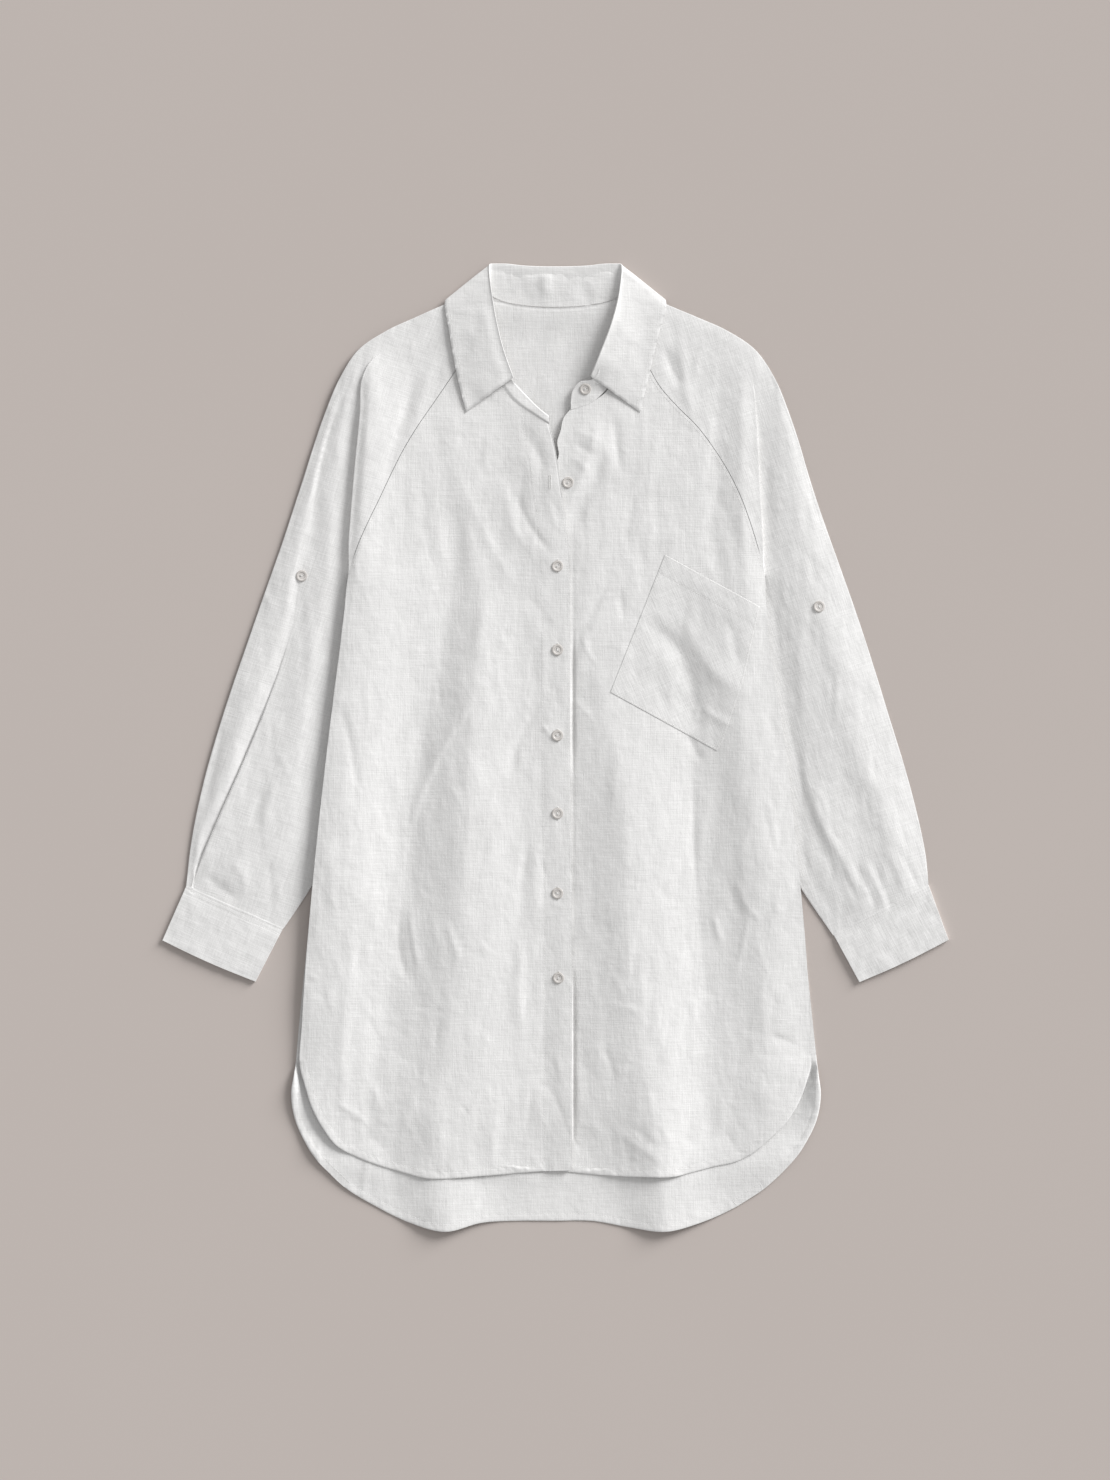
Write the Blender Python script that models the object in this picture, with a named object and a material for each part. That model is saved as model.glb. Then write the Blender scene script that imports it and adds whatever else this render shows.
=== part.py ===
"""A long white linen button-up shirt, laid flat on its back.

The wearer's right is -X, the neck is towards +Y, and the front faces +Z. Every size below is
in millimetres. Each cut piece of cloth is a sheet of points that is closed into a thin wall.
The sheets lie on each other as the real ones do: sleeves lowest, then the back, the fronts,
and the collar rolled over its stand.
"""

from collections import namedtuple

import bmesh
import bpy
import numpy as np
from mathutils import Matrix, Vector
from mathutils.bvhtree import BVHTree

METRES = 0.001

CLOTH = 1.0  # one layer of linen
DOUBLED = 1.2  # two pressed layers with interlining: collar, stand, cuffs, placket
SEAM = 0.3  # clearance between neighbouring pieces
RAGLAN_SEAM = 0.5  # and where a seam runs over folds

BODY_LOFT = 2.4  # how far the fronts billow above the back
SLEEVE_LOFT = 2.2
EDGE_REACH = 20.0  # a folded edge swells to its full loft over this width
SLEEVE_RISE = 3.2  # the body lies over the sleeves below the armholes
NECK_RISE = 2.1  # the back lies over the fall of the collar
ARMPIT_RISE = 2.0  # the back sleeve comes up to the body at the armpit
ARMPIT_REACH = 14.0
FRONT_LAP = 1.9  # the right front lies over the left one
STAND_LIFT = 0.8  # the stand's seam lies on top of the fronts' edge
PLEAT_FOOT = 1.5  # how far outside the pleat's edge its foot lies
CUFF_FADE = 45.0  # the sleeve flattens towards the cuff over this length
CUFF_LOFT = 0.5  # and keeps this share of its loft at the cuff
VENT_DROP = 25.0  # the rows of the front dip this much from the vent to the front edge

# Where a change of height begins, and where it is complete.
RISE_BY_SIDE = (76, 47)  # distance from the side seam, where the body climbs over the sleeve
RISE_ABOVE = (225, 148)  # the same along Y, below the neck
RISE_BELOW = (-205, -140)  # and above the cuff
RISE_AT_NECK = (424, 446)  # along Y, where the back climbs over the collar
RISE_BESIDE_NECK = (150, 122)  # distance from the middle
PLEAT_FREE = (412, 350)  # along Y, where the sleeve outside its pleat sinks to its own level
LAP_RISE = (-48, -20)  # along X, where the right front climbs over the left one

PLACKET_WIDTH = 30.0
COLLAR_SEAM = 0.5  # clearance between the stand and the collar
COLLAR_SEAM_TURNED = 1.7  # added where the collar turns behind the neck
TURNED_AT = 72.0  # the turn in degrees at which that is most
TURNED_WITHIN = 14.0
STAND_SHARE = 0.7  # the stand is this share of the way from the neck seam to the roll
ROLL_ROUND = 2.6  # radius of the collar's roll beside the neck
ROLL_FLAT = 1.2  # radius of the roll at the back, where the collar is pressed flat
ROLL_ANGLES = (0, 50, 90, 130, 180)  # points round the roll, in degrees
LEAF_SHARES = (0.33, 0.67, 1)  # points from the roll to the collar's edge
CUFF_HOLLOW = 1.2
CUFF_BULGE = 1.5  # the wrist's end of the cuff curves out a little

BUTTON_RADIUS = 5.75
BUTTON_HEIGHT = 2.4
BUTTON_BEVEL = 0.6
BUTTON_RIM = 1.3
BUTTON_DISH = 0.7
HOLE_RADIUS = 0.8
HOLE_OFFSET = 1.5
BUTTON_SIDES = 20
HOLE_SIDES = 10
SEAT_POINTS = 12  # places round a button's rim where it is kept clear of the cloth

LINEN = (0.800, 0.795, 0.780)
SHELL = (0.560, 0.540, 0.520)

# Seams and edges seen from above, each a short run of points on the wearer's right and left.

NECKLINE = dict(  # front neck seam, from the front edge to the raglan seam
    right=((-7, 337), (-37, 355), (-62, 386), (-72, 410), (-79, 428)),
    left=((16, 352), (34, 357), (50, 367), (65, 388), (76, 410), (82, 425)),
)
BACK_NECK = ((-64, 465), (-34, 459), (0, 457), (34, 459), (64, 465))
RAGLAN = dict(  # front raglan seam, from the neck to the armpit
    right=((-79, 428), (-116, 373), (-154, 316), (-186, 251), (-205, 210), (-215, 179)),
    left=((82, 425), (111, 371), (149, 331), (185, 276), (205, 225), (217, 182)),
)
BACK_RAGLAN = dict(
    right=((-64, 465), (-102, 410), (-152, 325), (-192, 245), (-215, 179)),
    left=((64, 465), (104, 410), (154, 328), (194, 248), (217, 182)),
)
SIDE = dict(  # side seam, from the armpit to the vent
    right=((-215, 179), (-223, 109), (-231, 47), (-241, -36), (-250, -120), (-259, -220), (-266, -328)),
    left=((217, 182), (222, 109), (232, 47), (243, -36), (252, -120), (261, -220), (266, -328)),
)
BACK_SIDE = dict(  # the back's side edge, which comes out beyond the seam towards the vent
    right=((-215, 179), (-223, 109), (-231, 47), (-241, -36), (-250, -120), (-260, -220),
           (-265, -270), (-271, -334)),
    left=((217, 182), (222, 109), (232, 47), (243, -36), (252, -120), (261, -220), (266, -270),
          (273, -336)),
)
FRONT_EDGE = dict(  # free front edge, from the neck to the hem
    right=((-7, 337), (-2, 318), (6, 267), (13, 205), (15, 101), (15, -3), (17, -138), (17, -440)),
    left=((16, 352), (7, 338), (2, 301), (-4, 267), (-10, 215), (-15, 101), (-15, -138), (-15, -439)),
)
FRONT_CORNER = dict(  # round corner of the hem, from the vent down
    right=((-266, -328), (-259, -357), (-247, -388), (-227, -415)),
    left=((266, -328), (257, -361), (244, -385), (225, -405)),
)
FRONT_HEM = dict(  # from the round corner to the front edge
    right=((-227, -415), (-205, -427), (-163, -441), (-125, -449), (-77, -446), (-13, -441),
           (17, -440)),
    left=((225, -405), (198, -427), (157, -438), (116, -447), (60, -446), (-15, -439)),
)
BACK_CORNER = dict(
    right=((-271, -334), (-275, -356), (-273, -380), (-265, -403), (-247, -431)),
    left=((273, -336), (276, -356), (274, -380), (266, -402), (246, -432)),
)
BACK_HEM = dict(  # from the round corner to the middle
    right=((-247, -431), (-208, -467), (-167, -487), (-142, -499), (-117, -504), (-84, -496),
           (-38, -493), (0, -493)),
    left=((246, -432), (209, -466), (153, -494), (128, -503), (105, -504), (78, -500), (55, -495),
          (32, -493), (0, -493)),
)
OVERARM = dict(  # outer edge of the sleeve, from the neck to the cuff
    right=((-78, 476), (-113, 461), (-162, 439), (-195, 422), (-214, 402), (-231, 368), (-266, 267),
           (-283, 215)),
    left=((80, 476), (113, 461), (158, 442), (199, 421), (218, 401), (237, 362), (272, 255),
          (286, 215)),
)
FOREARM = dict(
    right=((-283, 215), (-318, 115), (-346, 32), (-367, -41), (-380, -107), (-384, -145)),
    left=((286, 215), (316, 130), (346, 35), (373, -57), (386, -120), (388, -144)),
)
UNDERARM = dict(  # inner edge of the sleeve, hidden under the body from the armpit down
    right=((-216, 179), (-219, 160), (-212, 132), (-200, 95), (-192, 50), (-200, -20), (-222, -82),
           (-247, -134), (-283, -189)),
    left=((218, 182), (220, 162), (214, 135), (202, 95), (194, 50), (202, -20), (224, -82),
          (250, -138), (289, -196)),
)
PLEAT = dict(  # edge of the deep fold that the sleeve makes from the shoulder to the armpit
    right=((-79, 456), (-125, 430), (-178, 412), (-199, 385), (-202, 345), (-208, 283), (-214, 215),
           (-219, 179)),
    left=((82, 456), (127, 430), (180, 412), (203, 388), (207, 345), (211, 280), (216, 215),
          (221, 182)),
)
PRESSED = dict(  # where the sleeve comes out from under the body, down to the cuff
    right=((-219, 179), (-227, 110), (-235, 47), (-245, -36), (-253, -110), (-268, -145), (-308, -178)),
    left=((221, 182), (227, 110), (236, 47), (247, -36), (256, -110), (272, -148), (314, -183)),
)
CUFF = dict(  # corners: the sleeve's end from -X to +X, then the wrist's end from -X to +X
    right=((-384, -145), (-283, -189), (-409, -201), (-312, -244)),
    left=((289, -196), (388, -144), (316, -244.6), (409, -200.5)),
)
POCKET = ((114, 200), (57, 57), (168, -4), (174, 7), (195, 70), (212, 146))

# How each run is divided: grid steps along it.
NECK_TO_ARMPIT = 10
ARMPIT_TO_VENT = 13
VENT_TO_CORNER = 4
ARMPIT_TO_CUFF = 12
FRONT_COLUMNS = 9
PLACKET_COLUMNS = 2
BACK_HALF_COLUMNS = 7
PLEAT_COLUMNS = 3
SLEEVE_COLUMNS = 6
CUFF_ROWS = 2
CUFF_COLUMNS = 8
NECK_STEPS = 2  # grid steps between two sections of the neck
FINE_STEPS = 16  # steps from point to point on a curve before it is divided

# The largest folds: a path seen from above, a height (below zero for a trough) and a half width.
Fold = namedtuple("Fold", "path height width")
BODY_FOLDS = (
    Fold(((-102, 241), (-120, 85), (-157, -83), (-160, -175)), -1.6, 14),
    Fold(((-145, -230), (-148, -430)), -1.2, 28),
    Fold(((-68, 163), (-84, 59), (-79, 21)), 1.4, 13),
    Fold(((-78, -60), (-76, -430)), 1.5, 28),
    Fold(((-206, -60), (-215, -380)), 1.2, 18),
    Fold(((43, 281), (22, 236)), -1.0, 11),
    Fold(((115, 0), (118, -430)), 1.6, 26),
    Fold(((52, -60), (50, -430)), -0.9, 20),
    Fold(((180, -30), (188, -400)), -1.2, 22),
    Fold(((88, 113), (118, 75), (140, 25)), -1.0, 12),
)
SLEEVE_FOLDS = (
    Fold(((-269, 160), (-297, 49), (-328, -27), (-378, -135)), -1.5, 9),
    Fold(((-250, 100), (-290, -60), (-335, -150)), 1.6, 15),
    Fold(((-318, 60), (-350, -40), (-370, -100)), 0.9, 9),
    Fold(((293, 111), (296, 42), (314, -17), (337, -73), (372, -140)), 1.5, 10),
    Fold(((278, 90), (282, 20), (303, -40), (325, -95)), -1.2, 8),
    Fold(((263, -48), (278, -76), (306, -131)), 1.0, 9),
)
BACK_FLUTES = (
    Fold(((-120, -520), (-122, -400)), 2.4, 20),
    Fold(((105, -520), (104, -400)), 2.4, 22),
    Fold(((-225, -470), (-200, -400)), 1.2, 14),
    Fold(((222, -470), (200, -400)), 1.2, 14),
)

# Sections through the stand and the collar, from each front end to the middle of the back.
# base is on the neck seam, crest is the top of the stand or of the roll, edge is the collar's
# outer edge, and turn is 0 where the collar stands up and 90 where it lies flat behind the neck.
Section = namedtuple("Section", "base crest edge turn")
NECK_SECTIONS = dict(
    right=(
        Section((-6.4, 337.8), (-7, 342, 7.2), None, 0),
        Section((-21, 347), (-18, 351, 10.5), None, 0),
        Section((-45, 364.5), (-33, 366, 13.5), None, 0),
        Section((-61, 386.5), (-44, 384, 18.5), (-93, 348, 8.2), 0),
        Section((-71, 410.5), (-54, 412, 20.5), (-101, 380, 9.2), 0),
        Section((-77.5, 432), (-61, 440, 20.5), (-107, 410, 9.7), 5),
        Section((-77.5, 453), (-66, 468, 17.0), (-112, 440, 9.2), 20),
        Section((-75.4, 468), (-69, 490, 10.5), (-115, 457, 7.4), 50),
        Section((-73.5, 473), (-69.5, 497, 7.4), (-115.2, 461.5, 6.0), 66),
        Section((-70, 476.6), (-69, 502, 4.8), (-114, 465.5, 4.4), 80),
        Section((-67, 470.5), (-66, 503, 3.0), (-111, 463.6, 1.6), 88),
        Section((-58, 465.2), (-54, 503, 2.9), (-86, 457, 1.6), 90),
        Section((-34, 460), (-34, 501, 2.9), (-50, 452, 1.6), 90),
    ),
    left=(
        Section((15.6, 353), (16, 357, 6.5), None, 0),
        Section((22, 354.8), (18, 369, 8.5), None, 0),
        Section((35.4, 359.4), (26, 379, 11.0), None, 0),
        Section((49.2, 368), (37, 385, 15.5), (88, 348, 8.2), 0),
        Section((64, 389), (47, 409, 21.0), (95, 376, 9.2), 0),
        Section((76, 414), (58, 438, 22.5), (102, 406, 9.7), 5),
        Section((78.6, 450), (66, 468, 18.0), (110, 439, 9.2), 20),
        Section((75.4, 468), (69, 490, 10.5), (115, 457, 7.4), 50),
        Section((73.5, 473), (69.5, 497, 7.4), (115.2, 461.5, 6.0), 66),
        Section((70, 476.6), (69, 502, 4.8), (114, 465.5, 4.4), 80),
        Section((67, 470.5), (66, 503, 3.0), (111, 463.6, 1.6), 88),
        Section((58, 465.2), (54, 503, 2.9), (86, 457, 1.6), 90),
        Section((34, 460), (34, 501, 2.9), (50, 452, 1.6), 90),
    ),
)
NECK_BACK = Section((0, 458), (0, 500, 2.9), (0, 450, 1.6), 90)
NECK_CENTRE = (0, 430)

# Where each button is sewn, and how far its holes are turned, in degrees.
Button = namedtuple("Button", "name host place turn")
BUTTONS = (
    Button("button_1", "collar_stand", (31, 372), 23),
    Button("button_2", "front_left", (13, 275), 52),
    Button("button_3", "placket", (2, 188), 40),
    Button("button_4", "placket", (2, 101), 115),
    Button("button_5", "placket", (2, 12), 10),
    Button("button_6", "placket", (2, -69), 85),
    Button("button_7", "placket", (2, -152), 160),
    Button("button_8", "placket", (3, -240), 55),
    Button("sleeve_button_right", "sleeve_front_right", (-264, 178), 12),
    Button("sleeve_button_left", "sleeve_front_left", (274, 146), 100),
)


def curve_through(points, steps):
    """A smooth curve through the given points, with this many steps from each to the next."""
    points = np.array(points, float)
    spans = np.linalg.norm(np.diff(points, axis=0), axis=1)[:, None]
    slopes = np.diff(points, axis=0) / spans
    middle = (slopes[:-1] * spans[1:] + slopes[1:] * spans[:-1]) / (spans[1:] + spans[:-1])
    # A limit on the tangents keeps the curve from swinging past its points.
    limit = 3 * np.minimum(np.abs(slopes[:-1]), np.abs(slopes[1:])) * (slopes[:-1] * slopes[1:] > 0)
    tangents = np.vstack([slopes[:1], np.clip(middle, -limit, limit), slopes[-1:]])
    t = np.linspace(0, 1, steps + 1)[1:, None]
    curve = [points[:1]]
    for i, span in enumerate(spans):
        curve.append(
            points[i] * (1 + 2 * t) * (1 - t) ** 2
            + points[i + 1] * t**2 * (3 - 2 * t)
            + tangents[i] * span * t * (1 - t) ** 2
            - tangents[i + 1] * span * t**2 * (1 - t)
        )
    return np.vstack(curve)


def smooth_line(points, steps):
    """The same curve, as equal steps from end to end."""
    fine = curve_through(points, FINE_STEPS)
    length = np.concatenate([[0], np.cumsum(np.linalg.norm(np.diff(fine, axis=0), axis=1))])
    wanted = np.linspace(0, length[-1], steps + 1)
    return np.column_stack([np.interp(wanted, length, axis) for axis in fine.T])


def joined(*lines):
    """Several runs, end to end, as one."""
    return np.vstack([lines[0]] + [line[1:] for line in lines[1:]])


def moved_aside(line, amount):
    """A line moved to its left, seen from above, by the given amount."""
    along = np.gradient(line, axis=0)
    along /= np.linalg.norm(along, axis=1)[:, None]
    return line + amount * np.column_stack([-along[:, 1], along[:, 0]])


def patch(top, bottom, left, right):
    """A grid of points that spans four edges."""
    v = np.linspace(0, 1, len(left))[:, None, None]
    u = np.linspace(0, 1, len(top))[None, :, None]
    down = (1 - v) * top[None] + v * bottom[None]
    across = (1 - u) * left[:, None] + u * right[:, None]
    corners = (1 - v) * ((1 - u) * top[0] + u * top[-1]) + v * ((1 - u) * bottom[0] + u * bottom[-1])
    return down + across - corners


def distance_to(grid, *paths):
    """How far each point lies from the nearest of some paths, seen from above."""
    nearest = np.full(grid.shape[:-1], np.inf)
    for path in paths:
        for start, end in zip(np.array(path[:-1], float), np.array(path[1:], float)):
            run = end - start
            share = np.clip(((grid[..., :2] - start) @ run) / (run @ run), 0, 1)
            away = np.linalg.norm(grid[..., :2] - start - share[..., None] * run, axis=-1)
            nearest = np.minimum(nearest, away)
    return nearest


def eased(value, start, end):
    """0 at start, 1 at end, with a soft change between them."""
    t = np.clip((value - start) / (end - start), 0, 1)
    return t * t * (3 - 2 * t)


def rounded(distance):
    """The round profile of a folded edge: 0 at the edge, 1 from its reach inwards."""
    t = np.clip(distance / EDGE_REACH, 0, 1)
    return np.sqrt(1 - (1 - t) ** 2)


def folded(grid, folds):
    """The folds' heights, added together."""
    heights = np.zeros(grid.shape[:-1])
    for fold in folds:
        heights += fold.height * np.exp(-((distance_to(grid, fold.path) / fold.width) ** 2))
    return heights


def over_collar(grid):
    """1 where the back and the sleeves lie over the fall of the collar, 0 away from it."""
    beside = eased(np.abs(grid[..., 0]), *RISE_BESIDE_NECK)
    return eased(grid[..., 1], *RISE_AT_NECK) * beside


def back_height(grid):
    """Underside of the back: flat, and raised over the sleeves and the collar."""
    y = grid[..., 1]
    over_sleeve = eased(distance_to(grid, *SIDE.values()), *RISE_BY_SIDE)
    over_sleeve *= eased(y, *RISE_ABOVE) * eased(y, *RISE_BELOW)
    return SLEEVE_RISE * over_sleeve + NECK_RISE * over_collar(grid) + folded(grid, BACK_FLUTES)


def sleeve_back_height(grid):
    """Underside of the back sleeve: flat, and raised over the collar and at the armpit."""
    armpits = np.array([side[0] for side in SIDE.values()], float)
    away = np.linalg.norm(grid[..., None, :2] - armpits, axis=-1).min(axis=-1)
    return NECK_RISE * over_collar(grid) + ARMPIT_RISE * np.exp(-((away / ARMPIT_REACH) ** 2))


def body_height(grid):
    """Underside of the fronts, and of the sleeves down to the armholes."""
    soft = rounded(distance_to(grid, *OVERARM.values(), *SIDE.values()))
    return back_height(grid) + CLOTH + SEAM + soft * (BODY_LOFT + folded(grid, BODY_FOLDS))


def sleeve_height(grid, side):
    """Underside of the front sleeve, outside its pleat."""
    soft = rounded(distance_to(grid, PLEAT[side], PRESSED[side]))
    soft *= rounded(distance_to(grid, OVERARM[side], FOREARM[side]))
    soft *= CUFF_LOFT + (1 - CUFF_LOFT) * eased(distance_to(grid, CUFF[side][:2]), 0, CUFF_FADE)
    return sleeve_back_height(grid) + CLOTH + SEAM + soft * (SLEEVE_LOFT + folded(grid, SLEEVE_FOLDS))


def sheet_faces(rows, columns, closed=False):
    """Triangles of a grid. Rows that run to -Y and columns that run to +X face up."""
    faces = []
    for r in range(rows - 1):
        for c in range(columns if closed else columns - 1):
            a, b = r * columns + c, r * columns + (c + 1) % columns
            faces += [(a, a + columns, b + columns), (a, b + columns, b)]
    return faces


def material(name, colour, roughness):
    """A plain material in one colour."""
    made = bpy.data.materials.new(name)
    made.use_nodes = True
    shader = made.node_tree.nodes["Principled BSDF"]
    shader.inputs["Base Color"].default_value = (*colour, 1)
    shader.inputs["Roughness"].default_value = roughness
    shader.inputs["Metallic"].default_value = 0.0
    return made


def outward(points, faces):
    """The normal at each point of a sheet."""
    corners = points[faces]
    flat = np.cross(corners[:, 1] - corners[:, 0], corners[:, 2] - corners[:, 0])
    normals = np.zeros_like(points)
    for corner in range(3):
        np.add.at(normals, faces[:, corner], flat)
    return normals / np.linalg.norm(normals, axis=1)[:, None]


def sew(name, points, faces, thickness):
    """Closes a sheet, which is its underside, into a wall. Returns the points of its outer face."""
    points, faces = np.array(points, float).reshape(-1, 3), np.array(faces)
    outer = points + thickness * outward(points, faces)
    count = len(points)
    ways = {(a, b) for face in faces.tolist() for a, b in zip(face, face[1:] + face[:1])}
    rim = [(a, b) for a, b in sorted(ways) if (b, a) not in ways]
    sides = [(a, b, b + count) for a, b in rim] + [(a, b + count, a + count) for a, b in rim]
    closed = (faces + count).tolist() + faces[:, ::-1].tolist() + sides
    mesh = bpy.data.meshes.new(name)
    mesh.from_pydata((np.vstack([points, outer]) * METRES).tolist(), [], closed)
    mesh.shade_smooth()
    mesh.set_sharp_from_angle(angle=np.radians(50))
    mesh.materials.append(material(name, LINEN, 0.9))
    bpy.context.scene.collection.objects.link(bpy.data.objects.new(name, mesh))
    return outer


def sew_grid(name, grid, thickness=CLOTH, closed=False):
    """A panel from its grid. Returns the grid of its outer face."""
    faces = sheet_faces(*grid.shape[:2], closed=closed)
    return sew(name, grid, faces, thickness).reshape(grid.shape)


def facing_up(grid, side):
    """The left side's columns run inwards, so they are turned round to face up."""
    return grid if side == "right" else grid[:, ::-1]


def down_the_side(raglan, side, corner):
    """Raglan seam, side edge and round corner as one run."""
    return joined(
        smooth_line(raglan, NECK_TO_ARMPIT),
        smooth_line(side, ARMPIT_TO_VENT),
        smooth_line(corner, VENT_TO_CORNER),
    )


def at_levels(path, levels):
    """Points of a downward path at the given heights of y."""
    fine = curve_through(path, FINE_STEPS)[::-1]
    return np.column_stack([np.interp(levels, fine[:, 1], fine[:, 0]), levels])


def make_back():
    """One panel from the neck to the long hem, with no yoke."""
    edges = [down_the_side(BACK_RAGLAN[s], BACK_SIDE[s], BACK_CORNER[s]) for s in SIDE]
    hem = joined(
        smooth_line(BACK_HEM["right"], BACK_HALF_COLUMNS),
        smooth_line(BACK_HEM["left"], BACK_HALF_COLUMNS)[::-1],
    )
    grid = patch(smooth_line(BACK_NECK, 2 * BACK_HALF_COLUMNS), hem, *edges)
    sew_grid("back", np.dstack([grid, back_height(grid)]))


def front_levels(side):
    """Heights of y down the front edge, in step with the rows at the side."""
    path = FRONT_EDGE[side]
    stops = (path[0][1], SIDE[side][0][1], SIDE[side][-1][1] - VENT_DROP, path[-1][1])
    steps = (NECK_TO_ARMPIT, ARMPIT_TO_VENT, VENT_TO_CORNER)
    runs = [np.linspace(high, low, n + 1)[1:] for high, low, n in zip(stops, stops[1:], steps)]
    return np.concatenate([stops[:1], *runs])


def make_right_front():
    """The front that laps over, with the buttonhole placket on its edge."""
    edge = at_levels(FRONT_EDGE["right"], front_levels("right"))
    neck, hem = NECKLINE["right"], FRONT_HEM["right"]
    seam = edge - (PLACKET_WIDTH, 0)
    seam[0], seam[-1] = neck[1], hem[-2]
    panel = patch(
        smooth_line(neck[:0:-1], FRONT_COLUMNS),
        smooth_line(hem[:-1], FRONT_COLUMNS),
        down_the_side(RAGLAN["right"], SIDE["right"], FRONT_CORNER["right"]),
        seam,
    )
    band = patch(
        smooth_line(neck[1::-1], PLACKET_COLUMNS), smooth_line(hem[-2:], PLACKET_COLUMNS), seam, edge
    )
    grid = np.hstack([panel, band[:, 1:]])
    height = body_height(grid) + FRONT_LAP * eased(grid[..., 0], *LAP_RISE)
    outer = sew_grid("front_right", np.dstack([grid, height]))
    sew_grid("placket", outer[:, FRONT_COLUMNS:] + (0, 0, SEAM), DOUBLED)


def make_left_front():
    """The front that lies under, with the pocket on it."""
    columns = FRONT_COLUMNS + PLACKET_COLUMNS
    grid = patch(
        smooth_line(NECKLINE["left"][::-1], columns),
        smooth_line(FRONT_HEM["left"], columns),
        down_the_side(RAGLAN["left"], SIDE["left"], FRONT_CORNER["left"]),
        at_levels(FRONT_EDGE["left"], front_levels("left")),
    )
    grid = facing_up(grid, "left")
    make_pocket(sew_grid("front_left", np.dstack([grid, body_height(grid)])))


def make_pocket(outer):
    """A patch cut from the front's own outer face and moved out by the seam clearance."""
    sheet = bmesh.new()
    points = [sheet.verts.new(point) for point in outer.reshape(-1, 3)]
    for face in sheet_faces(*outer.shape[:2]):
        sheet.faces.new([points[i] for i in face])
    for start, end in zip(POCKET, POCKET[1:] + POCKET[:1]):
        bmesh.ops.bisect_plane(
            sheet,
            geom=sheet.verts[:] + sheet.edges[:] + sheet.faces[:],
            plane_co=(*start, 0),
            plane_no=(end[1] - start[1], start[0] - end[0], 0),
            clear_outer=True,
        )
    bmesh.ops.remove_doubles(sheet, verts=sheet.verts, dist=0.2)
    bmesh.ops.triangulate(sheet, faces=sheet.faces)
    sheet.verts.index_update()
    cut = np.array([vert.co for vert in sheet.verts]) + (0, 0, SEAM)
    faces = [[vert.index for vert in face.verts] for face in sheet.faces]
    sheet.free()
    sew("pocket", cut, faces, CLOTH)


def sleeve_edges(raglan, side):
    """Inner and outer edge of a sleeve, row by row from the neck to the cuff."""
    aside = -RAGLAN_SEAM if side == "right" else RAGLAN_SEAM
    inner = joined(
        moved_aside(smooth_line(raglan[side], NECK_TO_ARMPIT), aside),
        UNDERARM[side][:2],
        smooth_line(UNDERARM[side][1:], ARMPIT_TO_CUFF - 1),
    )
    outer = joined(
        smooth_line(OVERARM[side], NECK_TO_ARMPIT),
        smooth_line(FOREARM[side], ARMPIT_TO_CUFF),
    )
    return inner, outer


def make_back_sleeve(side):
    """The half of the sleeve that lies on the ground."""
    edges = sleeve_edges(BACK_RAGLAN, side)
    grid = np.linspace(*edges, PLEAT_COLUMNS + SLEEVE_COLUMNS + 1, axis=1)
    grid = facing_up(grid[:, ::-1], side)
    sew_grid("sleeve_back_" + side, np.dstack([grid, sleeve_back_height(grid)]))


def make_front_sleeve(side):
    """The upper half: at the body's level up to the pleat's edge, and lower outside it."""
    inner, outer = sleeve_edges(RAGLAN, side)
    pleat = joined(
        smooth_line(PLEAT[side], NECK_TO_ARMPIT),
        smooth_line(PRESSED[side], ARMPIT_TO_CUFF),
    )
    foot = moved_aside(pleat, -PLEAT_FOOT if side == "right" else PLEAT_FOOT)
    body = np.linspace(inner, pleat, PLEAT_COLUMNS + 1, axis=1)
    free = np.linspace(foot, outer, SLEEVE_COLUMNS + 1, axis=1)
    body_z = body_height(body)
    hidden = slice(NECK_TO_ARMPIT + 1, None)
    body_z[hidden] = sleeve_back_height(body[hidden]) + CLOTH + SEAM
    fallen = eased(pleat[:, 1:], *PLEAT_FREE)
    free_z = (1 - fallen) * body_height(free) + fallen * sleeve_height(free, side)
    grid = np.hstack([np.dstack([body, body_z]), np.dstack([free, free_z])])
    sew_grid("sleeve_front_" + side, facing_up(grid[:, ::-1], side))


def make_cuff(side):
    """A doubled band as a flattened tube, open at both ends."""
    top_west, top_east, low_west, low_east = np.array(CUFF[side], float)
    along = (low_west + low_east - top_west - top_east) / 2
    along /= np.linalg.norm(along)
    radius = CUFF_HOLLOW / 2
    level = DOUBLED + radius
    bulge = np.sin(np.linspace(0, np.pi, CUFF_COLUMNS + 1))[:, None] * CUFF_BULGE * along
    rows = []
    for share in np.linspace(0, 1, CUFF_ROWS + 1):
        clear = (1 - share) * SEAM * along
        west = top_west + share * (low_west - top_west) + clear
        east = top_east + share * (low_east - top_east) + clear
        across = (east - west) / np.linalg.norm(east - west)
        run = np.linspace(west + level * across, east - level * across, CUFF_COLUMNS + 1)
        run += share * bulge
        row = [(*point, level + radius) for point in run]
        row += [(*(run[-1] + radius * across), level)]
        row += [(*point, level - radius) for point in run[::-1]]
        row += [(*(run[0] - radius * across), level)]
        rows.append(row)
    sew_grid("cuff_" + side, np.array(rows), DOUBLED, closed=True)


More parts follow.
